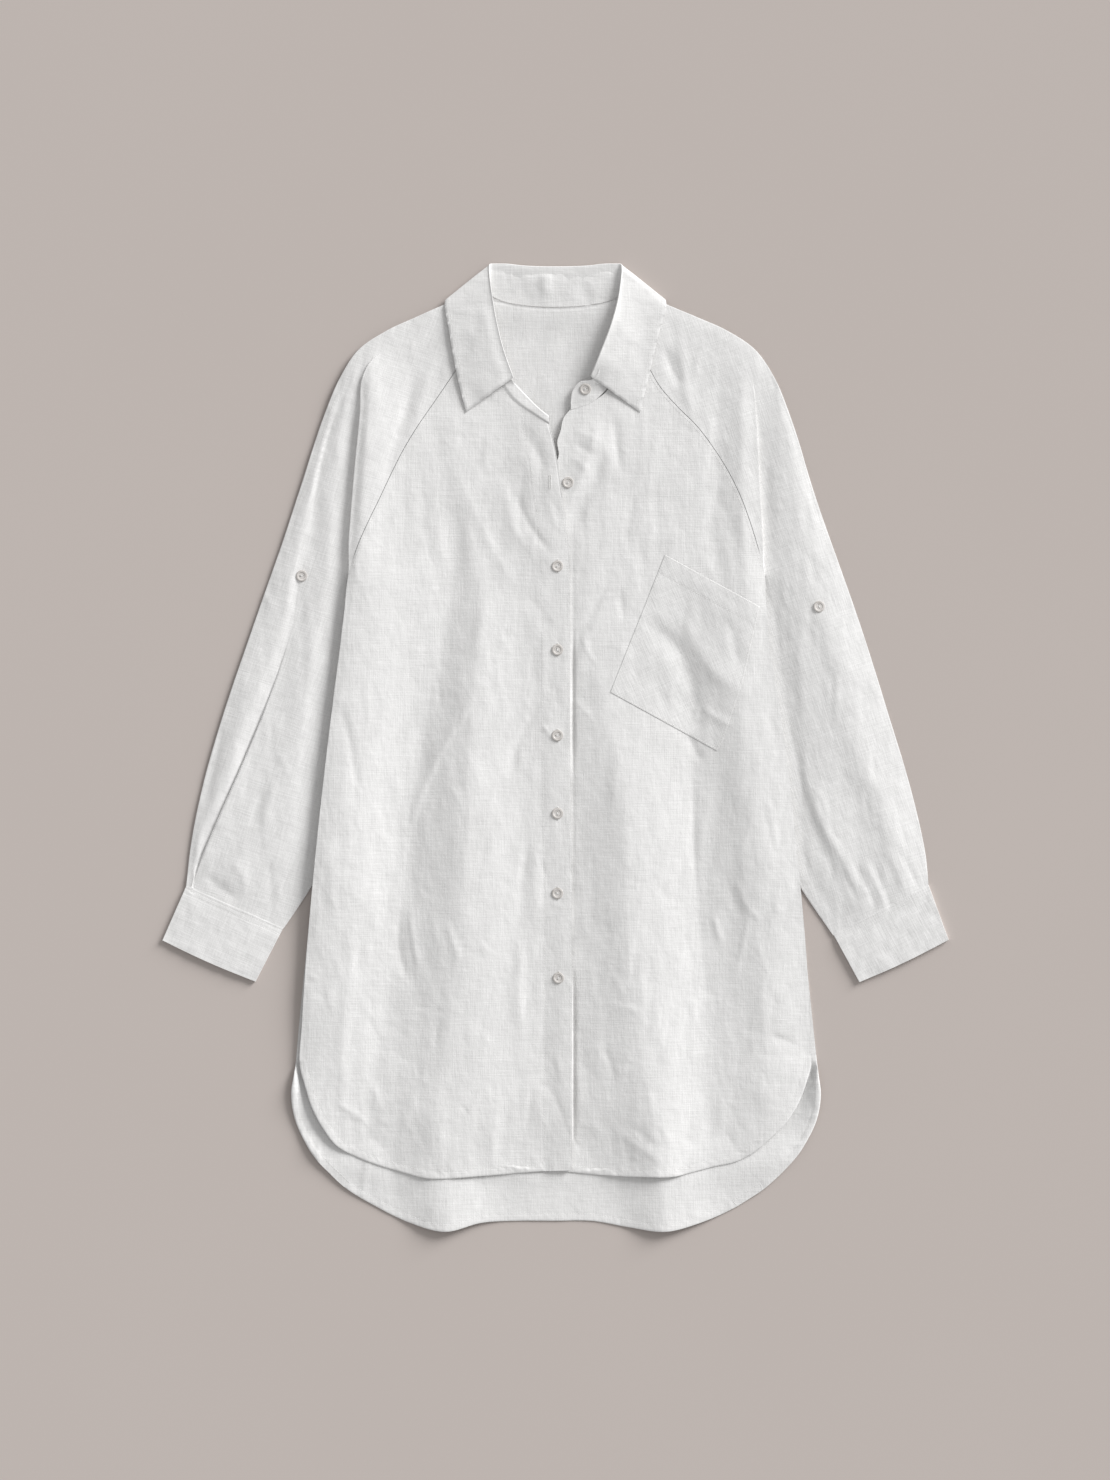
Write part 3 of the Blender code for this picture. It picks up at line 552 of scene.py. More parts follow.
# The long flutes of the fronts, from the side to the middle on the right and on to the side.
RIGHT_FORM = (
    ((-203, 460, 0.3), (-201, 310, 0.8), (-203, 174, 1.6), (-212, 59, 2.1), (-219, -20, 2.1),
     (-226, -77, 2.3), (-232, -149, 2.6), (-235, -221, 2.6), (-237, -307, 2.6), (-238, -560, 2.3)),
    ((-124, 460, 0), (-122, 310, -0.2), (-108, 174, -0.4), (-112, 135, -0.8), (-129, 59, -1.3),
     (-143, -20, -1.6), (-153, -77, -1.8), (-158, -149, -2.1), (-168, -221, -2.1), (-180, -307, -1.8),
     (-195, -407, -1.3), (-204, -560, -1)),
    ((-110, 460, 0), (-102, 310, 0.2), (-82, 174, 0.8), (-77, 135, 1.9), (-84, 59, 3.8),
     (-91, -20, 4.4), (-93, -77, 4.9), (-97, -149, 5.5), (-104, -221, 5.5), (-113, -307, 5.2),
     (-129, -407, 4.7), (-140, -560, 4.4)),
    ((-60, 460, 0), (-61, 310, -0.3), (-28, 174, 0), (-22, 59, 0), (-18, -20, 0), (-12, -149, -0.3),
     (-12, -221, -0.7), (-12, -307, -1), (-13, -560, -1.3)),
    ((17, 460, 0), (17, 310, 0.7), (17, 59, 1), (17, -149, 1.3), (17, -307, 1.6), (17, -560, 1.8)),
)
LEFT_FORM = (
    ((14, 460, 0), (14, 310, 0), (14, 145, -0.3), (14, 59, -1.3), (14, -20, -1.3), (14, -149, -1.3),
     (14, -307, -1.5), (14, -560, -1.5)),
    ((32, 460, 0), (32, 310, 0.8), (39, 145, 0.7), (43, 80, 0.9), (54, 37, 1.8), (67, -20, 4.4),
     (72, -77, 6), (73, -149, 6.4), (77, -221, 6.7), (86, -307, 6.8), (104, -407, 6.6),
     (114, -560, 6.3)),
    ((97, 460, 0), (97, 310, 0), (111, 145, 0), (125, 59, -0.5), (140, -20, -1.3), (143, -77, -1.7),
     (147, -149, -2), (153, -221, -2), (158, -307, -2), (163, -560, -1.6)),
    ((160, 460, 0), (160, 310, 0.3), (183, 145, 0.7), (188, 59, 1.2), (191, -20, 2.1),
     (194, -77, 2.6), (198, -149, 3.1), (208, -221, 3.2), (219, -307, 3.2), (220, -560, 3)),
    ((212, 460, 0), (214, 310, 0), (222, 109, 0), (243, -36, 0.3), (261, -220, 0.5), (280, -560, 0.5)),
)

RIGHT_FOLDS = (
    # the narrow crease that leaves the long crest and fades towards the side
    Fold(1.2, 3.5, 9, ((-84, 66), (-91, 40), (-111, 9), (-128, -24), (-142, -56), (-154, -100))),
    Fold(-0.8, 7, 9, ((-104, 262), (-103, 220), (-106, 180), (-112, 140))),
    Fold(0.5, 9, 8, ((-70, 150), (-79, 122), (-83, 84))),
    # creases that pull towards the buttons
    Fold(0.4, 4.5, 6, ((-112, 302), (-101, 282), (-84, 244), (-65, 205), (-44, 171), (-26, 157))),
    Fold(-0.9, 4, 5, ((-43, 275), (-36, 250), (-27, 231), (-10, 208), (2, 196))),
    Fold(0.8, 5, 7, ((-58, 290), (-50, 255), (-42, 225), (-25, 200))),
    Fold(-0.35, 5, 6, ((-30, 162), (-16, 140), (-2, 112))),
    Fold(0.35, 5, 5, ((-22, 140), (-14, 120), (-13, 58), (-20, 36))),
    Fold(-1.0, 5, 6, ((-15, 50), (-28, 26), (-42, -6), (-46, -40))),
    Fold(0.6, 2.5, 3, ((-14, 24), (-8, 16), (-2, 8))),
    Fold(-0.7, 5, 6, ((-33, -84), (-31, -110), (-34, -140), (-36, -174))),
    Fold(0.6, 6, 6, ((-22, -84), (-21, -120), (-20, -160), (-24, -190))),
    Fold(-0.5, 8, 8, ((-8, -240), (-12, -290), (-13, -330), (0, -380))),
    Fold(0.8, 5, 6, ((-34, -190), (-38, -250), (-36, -310))),
    # creases below the shoulder and beside the raglan seam
    Fold(1.0, 8, 7, ((-124, 413), (-137, 370), (-150, 331), (-170, 300))),
    Fold(-0.9, 6, 6, ((-143, 400), (-155, 352), (-168, 305), (-180, 270))),
    Fold(-0.6, 6, 6, ((-142, 300), (-138, 250), (-133, 205), (-128, 165))),
    Fold(0.5, 6, 6, ((-128, 300), (-124, 250), (-118, 200), (-110, 170))),
    Fold(-0.9, 7, 7, ((-34, 340), (-26, 318), (-16, 300), (-8, 276))),
    Fold(1.5, 5, 30, ((-34, 362), (-14, 342), (-2, 318), (4, 290), (9, 262), (12, 235))),
    Fold(2.6, 24, 8, ((-186, 440), (-192, 385), (-197, 300), (-204, 215), (-212, 140))),
    # the side, the vent and the hem
    Fold(-0.9, 6, 4, ((-226, 50), (-215, 12), (-209, -26), (-207, -60))),
    Fold(-1.0, 4, 5, ((-159, -160), (-163, -185), (-162, -215), (-152, -250))),
    Fold(0.7, 3, 3, ((-152, -165), (-148, -200), (-142, -235))),
    Fold(0.7, 4, 4, ((-113, -178), (-107, -200), (-98, -228))),
    Fold(0.9, 8, 8, ((-206, -120), (-214, -230), (-222, -330), (-214, -430))),
    Fold(-0.3, 4, 4, ((-12, -345), (0, -366), (10, -390))),
    Fold(0.6, 4, 4, ((-232, -366), (-212, -380), (-190, -394))),
    Fold(0.5, 5, 5, ((-60, -380), (-66, -410), (-62, -450))),
    Fold(-0.5, 4, 4, ((-30, -420), (-24, -436), (-25, -452))),
)
LEFT_FOLDS = (
    Fold(-0.8, 4, 4, ((143, -20), (144, -60), (144, -110), (147, -160))),
    # the narrow hollow beside the right front's edge, deepest near the hem
    Fold(-0.35, 2.4, 2.4, ((18.6, 262), (18.4, 100), (18.4, -60), (18.6, -230))),
    Fold(-1.3, 1.8, 2.2, ((18.2, 130), (18.2, 70), (18.2, 10), (18.4, -40))),
    Fold(-1.9, 2.6, 2.6, ((18.6, -220), (18.8, -300), (18.8, -380), (18.6, -437))),
    # creases from the collar and towards the buttons
    Fold(-1.5, 8, 10, ((50, 312), (42, 285), (28, 250), (16, 216))),
    Fold(1.2, 7, 6, ((44, 345), (38, 312), (26, 278), (20, 262))),
    Fold(-1.1, 5, 5, ((60, 350), (62, 328), (66, 296), (66, 280))),
    Fold(-0.6, 13, 12, ((56, 112), (42, 84), (28, 57), (18, 30))),
    Fold(-0.8, 6, 6, ((54, 168), (42, 150), (32, 130), (19, 98))),
    Fold(0.7, 7, 7, ((50, 146), (38, 122), (28, 100), (20, 62))),
    Fold(0.6, 4, 4, ((19, 331), (30, 324), (45, 319))),
    Fold(-0.6, 4, 4, ((17, 317), (28, 311), (42, 302))),
    Fold(0.5, 4, 4, ((15, 303), (24, 297), (34, 286))),
    Fold(-0.9, 4, 4, ((66, 168), (69, 146), (68, 118))),
    Fold(-0.6, 4, 5, ((84, 270), (78, 240), (69, 205))),
    Fold(0.5, 6, 6, ((104, 330), (100, 290), (94, 250))),
    # below the shoulder and at the armpit
    Fold(-1.1, 6, 5, ((113, 420), (117, 405), (124, 388), (132, 370))),
    Fold(0.9, 6, 6, ((131, 430), (133, 400), (137, 364), (146, 340))),
    Fold(-1.3, 11, 12, ((172, 416), (170, 375), (168, 335), (168, 280), (164, 220), (168, 160))),
    Fold(1.7, 15, 10, ((194, 424), (194, 385), (194, 330), (195, 250), (199, 170), (208, 80))),
    Fold(-0.6, 8, 8, ((156, 272), (168, 258), (178, 240), (182, 205))),
    Fold(-0.6, 10, 10, ((160, 236), (168, 205), (176, 165), (180, 130))),
    # folds that run across the pocket
    Fold(-1.8, 9, 11, ((86, 132), (100, 123), (116, 114), (133, 92), (143, 58), (147, 26), (156, -2))),
    Fold(0.9, 16, 16, ((92, 112), (108, 96), (124, 70), (128, 45))),
    Fold(1.3, 12, 9, ((126, 150), (134, 134), (147, 104), (170, 73), (200, 54))),
    Fold(-1.1, 7, 7, ((176, 140), (182, 122), (188, 96), (188, 70))),
    Fold(0.7, 4, 5, ((150, 44), (164, 33), (186, 20))),
    Fold(-0.9, 4, 4, ((138, 14), (144, 0), (152, -18))),
    # small sharp crumples above the side vent and at the hem
    Fold(0.6, 4, 4, ((186, -132), (192, -150), (200, -168), (220, -184))),
    Fold(-0.4, 5, 4, ((180, -140), (186, -160), (196, -180))),
    Fold(0.8, 3, 3, ((165, -174), (168, -190), (172, -206))),
    Fold(0.5, 3, 3, ((202, -168), (196, -200), (184, -248))),
    Fold(-0.7, 4, 4, ((214, -58), (222, -88), (228, -120))),
    Fold(-0.6, 3, 4, ((222, -298), (236, -304), (252, -309))),
    Fold(0.5, 5, 4, ((60, -398), (84, -414), (118, -437))),
    Fold(-0.4, 5, 4, ((72, -392), (92, -404), (108, -420))),
    Fold(-0.8, 6, 6, ((24, -280), (26, -310), (30, -350))),
)


def body(side, lines, table, seed):
    """The upper face of one front and of its sleeve's shoulder, as a function of points. It
    rises over the sleeve beside the armpit, sinks to the hem and stays above the tail."""
    base = level([f"front_{side}", f"sleeve_front_{side}"], on_body(side))
    waves = rumple(seed, 15, 46)
    small = rumple(seed + 1, 6, 9)
    low, high = ((-280, -460), (30, 450)) if side == "right" else ((-30, -460), (280, 450))
    border = np.vstack([curve(PLEAT[side], 6)[26:], curve(SIDE[side], 6)[1:]])
    rim = 0.35 if side == "right" else 0

    def at(points):
        calmer = 1 - 0.22 * eased(points[:, 1], -20, -300)
        height = base(points) + calmer * form(points, lines) + folds(points, table)
        height += 0.2 * waves(points) + 0.05 * small(points)
        height += crumple(points, seed + 2, 420, low, high, (14, 60), 0.2)
        height += crumple(points, seed + 3, 150, (low[0], -450), (high[0], -120), (10, 34), 0.15,
                          grain=160, spread=30)
        away = np.abs(beside(points, border, 80)[0])
        height = np.maximum(height, 1.4) + 1.2 * eased(points[:, 1], 385, 300)
        height += 2.0 * eased(away, 55, 6) if side == "right" else 0.7 * eased(away, 70, 28)
        height -= 2.4 * (1 - eased(beside(points, front_hems[side], 90)[0], 4, 80))
        low_down = points[:, 1] < -250
        if low_down.any():
            clear = 1.15 + (0.9 * eased(points[low_down, 0], -45, -12) if side == "right" else 0)
            height[low_down] = np.maximum(height[low_down], back_height(points[low_down]) + clear)
        return height - softened(away, rim, 8)

    return at


right_body = body("right", RIGHT_FORM, RIGHT_FOLDS, 21)
left_body = body("left", LEFT_FORM, LEFT_FOLDS, 31)

# How far in from a front's edge its mesh follows the hem, row by row.
HEM_ROWS = (0.35, 1.0, 2.2, 3.6, 5.0, 6.3, STITCHED, 8.1, 9.6)


def covered(points, ring):
    """1 inside a closed outline, 0 outside it, with a soft change just inside."""
    inside = np.zeros(len(points), bool)
    x, y = points.T
    for a, b in zip(ring, np.roll(ring, -1, axis=0)):
        if a[1] != b[1]:
            crossed = (a[1] > y) != (b[1] > y)
            inside ^= crossed & (x < a[0] + (y - a[1]) * (b[0] - a[0]) / (b[1] - a[1]))
    distance = np.abs(beside(points, looped(ring), 4)[0])
    return np.where(inside, eased(distance, 0.2, 3), 0)


def front_place(height_of, seam, side_seam, hem, seed, patch, neck_wave):
    """The places of one front's points: its seams and hem sink in, and so does the cloth under
    the patch that is sewn on it. neck_wave is how far its edge wavers above the top button."""

    def place(points, thickness):
        at_neck = eased(points[:, 1], 286, 302) * eased(points[:, 1], 356, 346)
        wavy = neck_wave * at_neck * eased(points[:, 0], 34, 18)
        points = points + np.column_stack([wavy * np.sin(points[:, 1] / 4.3), 0 * wavy])
        height = height_of(points) - 0.5 * covered(points, patch)
        upper = height + hemmed(points, hem, seed)
        faint = np.where(points[:, 0] > 0, 0.06 * eased(points[:, 1], 235, 290), 0.1)
        upper -= softened(beside(points, seam, 4)[0], 1, 0.7) * faint
        upper -= softened(beside(points, side_seam, 4)[0], 1, 0.7) * 0.12 * (points[:, 0] <= 0)
        return both_faces(points, upper, np.minimum(height - thickness, upper - 0.2))

    return place


right_edge = outline("front_right")
right_raglan = part_of(right_edge, (-79, 428), (-215, 179))
right_side = part_of(right_edge, (-215, 179), (-266, -328))
right_place = front_place(right_body, right_raglan, right_side, front_hems["right"], 25,
                          outline("placket"), 0)
right_front = cloth("right_front", right_edge, right_place, 0.8, 2.6, HEM_ROWS)
dress(right_front, ["front_right"], body_linen, "linen", flat=(0.285, 0.88), area=0.2, held="laid",
      rests_on=["back_panel"])

left_edge = outline("front_left")
left_raglan = part_of(left_edge, (217, 182), (82, 425))
left_side = part_of(left_edge, (266, -328), (217, 182))
left_place = front_place(left_body, left_raglan, left_side, front_hems["left"], 35,
                         outline("pocket"), 1.2)
beside_placket = [np.column_stack([np.full(400, x), np.linspace(300, -446, 400)])
                  for x in (17.3, 18, 18.8, 19.6, 20.6, 21.8, 23.2)]
left_front = cloth("left_front", left_edge, left_place, 0.8, 2.6, HEM_ROWS, beside_placket)
dress(left_front, ["front_left"], body_linen, "linen", flat=(0.285, 0.88), area=0.2, held="laid",
      rests_on=["back_panel"])

# ---- Sleeves, front halves ----
# The real pieces are the upper halves of the raglan sleeves. Each is sewn to its front along
# the slanting raglan seam. From the shoulder to the armpit the body's cloth rolls over it in
# a deep fold, and below that it comes out from under the body and runs to the cuff.

RIGHT_SLEEVE_FORM = (
    ((-196, 450, 0), (-215, 400, 0), (-243, 335, 0), (-262, 270, 0), (-285, 205, 0), (-308, 140, 0),
     (-326, 75, 0), (-347, 10, 0), (-370, -55, 0), (-379, -120, 0), (-386, -200, 0)),
    ((-194, 450, 0), (-212, 400, 0.2), (-227, 367, 0.6), (-251, 276, 1), (-266, 218, 1.1),
     (-277, 166, 1.4), (-288, 114, 1.4), (-308, 62, 1.5), (-331, 3, 1.5), (-353, -55, 1.3),
     (-371, -101, 0.9), (-383, -200, 0.4)),
    ((-192, 450, 0), (-208, 400, 0), (-220, 367, -0.3), (-236, 328, -0.6), (-248, 276, -0.8),
     (-254, 218, -0.8), (-266, 179, -0.7), (-276, 114, -0.6), (-298, 49, -0.5), (-324, -16, -0.4),
     (-350, -75, -0.4), (-376, -136, -0.4), (-380, -200, -0.4)),
    ((-188, 450, 0), (-206, 400, 0.4), (-223, 335, 0.8), (-231, 270, 0.9), (-236, 205, 0.9),
     (-244, 140, 0.9), (-257, 75, 0.9), (-266, 10, 0.9), (-274, -55, 0.8), (-282, -120, 0.6),
     (-292, -200, 0.4)),
    ((-182, 450, 0), (-200, 400, -0.4), (-210, 335, -0.7), (-217, 270, -0.7), (-223, 205, -0.7),
     (-229, 140, -0.7), (-241, 75, -0.6), (-249, 10, -0.6), (-257, -55, -0.5), (-264, -120, -0.3),
     (-280, -200, -0.3)),
)
LEFT_SLEEVE_FORM = (
    ((184, 450, 0), (204, 400, -0.8), (210, 335, -1.3), (214, 270, -1.3), (218, 205, -1.4),
     (222, 140, -1.4), (231, 75, -1.4), (240, 10, -1.3), (248, -55, -1.2), (257, -120, -0.8),
     (280, -200, -0.6)),
    ((192, 450, 0), (216, 400, 0.2), (234, 335, 0.8), (241, 270, 1.0), (248, 205, 1.1),
     (258, 140, 1.2), (270, 75, 1.2), (283, 10, 1.1), (291, -55, 0.9), (303, -107, 0.7),
     (320, -200, 0.4)),
    ((194, 450, 0), (220, 400, 0.4), (242, 320, 1.1), (252, 250, 1.5), (270, 153, 1.9),
     (290, 75, 2.1), (306, 10, 2.1), (332, -42, 2.0), (358, -107, 1.6), (374, -200, 0.8)),
    ((196, 450, 0), (222, 400, 0), (254, 315, 0), (284, 231, 0), (310, 153, 0), (332, 75, 0),
     (352, 10, 0), (374, -68, 0), (386, -133, 0), (394, -200, 0)),
)

RIGHT_SLEEVE_FOLDS = (
    Fold(-1.2, 5, 3, ((-344, 26), (-353, -10), (-361, -42), (-368, -72))),
    Fold(-0.8, 5, 5, ((-305, -40), (-309, -60), (-317, -86))),
    Fold(0.7, 5, 5, ((-292, -30), (-298, -60), (-306, -90))),
    Fold(-0.9, 6, 6, ((-366, -130), (-350, -146), (-326, -160))),
    Fold(0.4, 5, 5, ((-338, -112), (-328, -130), (-318, -152))),
    Fold(-0.6, 4, 4, ((-300, -110), (-296, -140), (-296, -172))),
)
LEFT_SLEEVE_FOLDS = (
    Fold(-1.1, 7, 8, ((240, 40), (250, -20), (268, -79), (290, -130), (309, -177))),
    Fold(1.1, 6, 7, ((252, 6), (266, -50), (286, -98), (308, -140), (324, -176))),
    Fold(-0.55, 3, 3, ((309, -118), (322, -142), (336, -172))),
    Fold(0.5, 3, 3, ((318, -112), (332, -140), (346, -172))),
    Fold(-0.5, 3, 3, ((330, -118), (340, -144), (352, -176))),
    Fold(0.5, 3, 4, ((342, -100), (356, -130), (368, -160))),
    Fold(-0.6, 3, 3, ((352, -98), (366, -124), (380, -150))),
    Fold(-0.7, 5, 5, ((262, 205), (266, 185), (272, 164))),
    Fold(0.5, 5, 5, ((252, 120), (256, 70), (262, 20))),
    Fold(-0.9, 4, 4, ((286, -100), (300, -130), (316, -165))),
)
# Each cuff's corners: west and east on the sleeve's end, then west and east at the wrist.
CUFF = dict(
    right=((-384, -144), (-283, -188), (-409, -201), (-312, -244)),
    left=((289, -195), (388, -143), (316, -244.6), (409, -200.5)),
)


def sleeve(side, body_height, lines, table, seed, laps):
    """The front half of one sleeve, with its deep fold and any lapped pleats, each given by its
    rise, its reach and its crest. Returns the function that shapes it, for the cuff to meet."""
    node = "sleeve_front_" + side
    sign = 1 if side == "right" else -1
    armpit = np.array(PLEAT[side][-1])
    fold_line = np.vstack([curve(PLEAT[side], 2.5), armpit + ((sign * 14, -5), (sign * 70, -9))])
    fold_length = np.linalg.norm(np.diff(curve(PLEAT[side], 2.5), axis=0), axis=1).sum()

    def free(points):
        return sign * beside(points, fold_line, 900)[0] < -3

    base = level([node], free, blur=7.0)
    waves, small = rumple(seed, 11, 60), rumple(seed + 1, 6, 9)
    low, high = ((-400, -200), (-200, 430)) if side == "right" else ((200, -200), (400, 430))

    def free_height(points):
        height = base(points) + form(points, lines) + folds(points, table)
        height += 0.18 * waves(points) + 0.05 * small(points)
        height += crumple(points, seed + 2, 170, low, high, (14, 60), 0.2, grain=90 - sign * 20)
        return np.maximum(height, 2.0)

    def shaped(points):
        """Where points go: up or down, and sideways where the cloth rolls over."""
        away, along, left = beside(points, fold_line, 900)
        away, left = sign * away, sign * left
        start = 140 if side == "right" else 185
        lap = eased(along, start - 35, start - 5) * eased(along, fold_length - 4, fold_length - 40)
        over = eased(away / 0.3, -1, 0.9)
        upper = 1 - (1 - over) * eased(along, start - 50, start + 70)
        height = upper * body_height(points) + (1 - upper) * free_height(points)
        moved = points - (2.0 * lap * ridge(away, 0.6, 0.9))[:, None] * left
        for rise, reach, path in laps:
            path = curve(path, 2.5)
            gap, run, normal = beside(points, path, 4 * reach)
            length = np.linalg.norm(np.diff(path, axis=0), axis=1).sum()
            fade = eased(run, 0.15 * length, 0.65 * length) * eased(length - run, 0, 0.12 * length)
            slope = np.exp(-(np.maximum(gap, 0) / reach) ** 1.5)
            height += rise * fade * eased(gap, -0.5, 1.2) * slope - 0.6 * fade * ridge(gap, -1.6, 1.8)
            moved -= (2.3 * fade * ridge(gap, 0.7, 0.9))[:, None] * normal
        return moved, height

    edge = outline(node)
    under_arm = (np.abs(np.abs(edge[:, 0]) - 217) < 6) & (edge[:, 1] < 190)
    edge[:, 0] += sign * 5 * under_arm * eased(edge[:, 1], 192, 180) * eased(edge[:, 1], 128, 140)
    raglan = right_raglan if side == "right" else left_raglan
    cuff_seam = np.array(CUFF[side][:2], float)

    def place(points, thickness):
        moved, height = shaped(points)
        distance = beside(points, looped(edge), 20)[0]
        to_raglan = np.abs(beside(points, raglan, 20)[0])
        faint = 0.1 if side == "right" else 0.06 * eased(points[:, 1], 235, 290)
        drop = (softened(distance, 0.25, 0.7) + softened(distance, 0.5, 9)) * eased(to_raglan, 2, 14)
        drop += softened(to_raglan, 1, 0.7) * faint
        upper = height - drop * eased(np.abs(beside(points, cuff_seam, 20)[0]), 2, 16)
        return both_faces(moved, upper, np.minimum(height - thickness, upper - 0.2))

    rows = [curve(PLEAT[side], 1.9) + (sign * offset, 0)
            for offset in (-3.2, -2.0, -1.2, -0.7, -0.3, 0, 0.3, 0.6, 1.0, 1.4, 2.0, 3.0)]
    for _, _, path in laps:
        rows += [curve(path, 1.9) + (offset, 0.25 * offset)
                 for offset in (-3.0, -2.0, -1.2, -0.6, -0.2, 0.2, 0.5, 0.8, 1.1, 1.6, 2.4)]
    piece = cloth("front_sleeve_" + side, edge, place, 0.7, 2.6, (0.4, 1.1, 2.2), rows)
    dress(piece, [node], bpy.data.materials[f"washed_linen_{side}_sleeve"], "linen",
          flat=(0.19, 0.72), area=0.076, held="laid", rests_on=["back_sleeve_" + side])
    return shaped


LONG_LAP = (2.1, 18, ((-256, 200), (-266, 172), (-277, 114), (-297, 52), (-323, -14), (-349, -73),
                      (-380, -146)))
sleeve_shapes = dict(
    right=sleeve("right", right_body, RIGHT_SLEEVE_FORM, RIGHT_SLEEVE_FOLDS, 41, [LONG_LAP]),
    left=sleeve("left", left_body, LEFT_SLEEVE_FORM, LEFT_SLEEVE_FOLDS, 51, []),
)

# ---- Front placket ----
# The real piece is a straight band of linen, folded under at both edges and stitched on along
# them, that stiffens the right front and carries the buttonholes.

placket_edge = outline("placket")
placket_inner = part_of(placket_edge, (-37, 355), (-14, -438))
placket_outer = part_of(placket_edge, (17, -438), (17, 262))
placket_neck = part_of(placket_edge, (17, 262), (-7, 342))


def placket_place(points, thickness):
    stitching = ridge(beside(points, looped(placket_edge), 6)[0], 1.8, 0.7)
    height = right_body(points) + 0.02 - 0.04 * stitching
    upper = height - softened(beside(points, placket_outer, 4)[0], 0.15, 0.6)
    upper -= softened(beside(points, placket_neck, 4)[0], 0.45, 1.9)
    return both_faces(points, upper, np.minimum(height - thickness, upper - 0.15))


placket = cloth("front_placket", placket_edge, placket_place, 0.4, 2.2, (0.35, 0.9, 1.8, 2.7))
dress(placket, ["placket"], body_linen, "linen", flat=(0.036, 0.8), area=0.0247, held="laid",
      rests_on=["right_front"])

# ---- Chest pocket ----
# The real piece is a patch of linen with its edges turned under and a deep hem along its
# opening, stitched to the left front a little askew.

pocket_edge = outline("pocket")
pocket_opening = np.array(((114, 200), (212, 146)), float)


def pocket_place(points, thickness):
    below = -beside(points, pocket_opening, 400)[0]
    hem = 0.1 * eased(below, 20.5, 17.5) - 0.06 * ridge(below, 19.2, 0.8)
    distance = beside(points, looped(pocket_edge), 6)[0]
    height = left_body(points) + 0.5 + hem - 0.08 * ridge(distance, 1.6, 0.7)
    upper = height - softened(distance, 0.14, 0.5) - softened(below, 0.1, 0.8)
    return both_faces(points, upper, np.minimum(height - thickness, upper - 0.15))


pocket_hem = curve(pocket_opening - (9.2, 16.9), 1.8)
pocket = cloth("chest_pocket", pocket_edge, pocket_place, 0.42, 2.2, (0.35, 0.9, 1.6, 2.5),
               [pocket_hem + (0.48 * d, 0.88 * d) for d in (-1.6, -0.8, 0, 0.8, 1.6)])
dress(pocket, ["pocket"], washed_linen("washed_linen_pocket", -24), "linen", flat=(0.125, 0.17),
      area=0.019, held="laid", rests_on=["left_front"])

# ---- Collar and stand ----
# The real collar is two layers of linen with a light interlining, turned and pressed, sewn to
# a narrow doubled stand that is sewn round the neck. It folds over its roll, stands up beside
# the neck and is pressed flat behind it, where its fall lies under the back.

# base is on the neck seam, crest the top of the stand or of the roll, edge the collar's outer
# edge, and turn 0 where the collar stands up and 90 where it lies flat.
Section = namedtuple("Section", "base crest edge turn")
RIGHT_NECK = (
    Section((-6.4, 337.8, 0), (-7, 342, 0.3), None, 0),
    Section((-21, 347, 0), (-18, 351, 0.4), None, 0),
    Section((-45, 364.5, 0), (-33, 366, 0.8), None, 0),
    Section((-61, 386.5, 6.0), (-44, 384, 8.6), (-93, 348, 6.3), 0),
    Section((-71, 410.5, 5.6), (-54, 412, 10.2), (-101, 380, 7.6), 0),
    Section((-77.5, 432, 5.6), (-61, 440, 11.2), (-107, 410, 8.4), 5),
    Section((-77.5, 453, 6.2), (-66, 468, 10.6), (-112, 440, 8.2), 20),
    Section((-75.4, 468, 4.4), (-69, 490, 8.6), (-115, 457, 7.2), 50),
    Section((-73.5, 473, 3.4), (-69.5, 497, 6.8), (-115.2, 461.5, 5.8), 66),
)
LEFT_NECK = (
    Section((15.6, 353, 0), (16, 357, 0.3), None, 0),
    Section((22, 354.8, 0), (18, 369, 0.5), None, 0),
    Section((35.4, 359.4, 0), (26, 379, 0.9), None, 0),
    Section((49.2, 368, 6.0), (37, 385, 10.5), (88, 348, 5.8), 0),
    Section((64, 389, 5.6), (47, 409, 15.0), (95, 376, 6.3), 0),
    Section((76, 414, 5.6), (58, 438, 15.0), (102, 406, 6.5), 5),
    Section((78.6, 450, 6.2), (66, 468, 10.8), (110, 439, 7.0), 20),
    Section((75.4, 468, 4.4), (69, 490, 7.8), (115, 457, 6.6), 50),
    Section((73.5, 473, 3.4), (69.5, 497, 7.0), (115.2, 461.5, 5.6), 66),
)
MIDDLE_OF_NECK = Section((0, 458, 2.15), (0, 500, 2.9), (0, 450, 1.0), 90)


def behind_neck(sign):
    """The sections from one shoulder towards the middle, the same on both sides."""
    return [Section((sign * base, *at_base), (sign * crest, *at_crest), (sign * edge, *at_edge), turn)
            for (base, *at_base), (crest, *at_crest), (edge, *at_edge), turn in (
                ((70, 476.6, 2.8), (69, 502, 4.6), (114, 465.5, 4.4), 80),
                ((67, 470.5, 2.6), (66, 503, 3.0), (111, 463.6, 1.1), 88),
                ((58, 465.2, 2.2), (54, 503, 2.9), (86, 457, 1.0), 90),
                ((34, 460, 2.15), (34, 501, 2.9), (50, 452, 1.0), 90))]


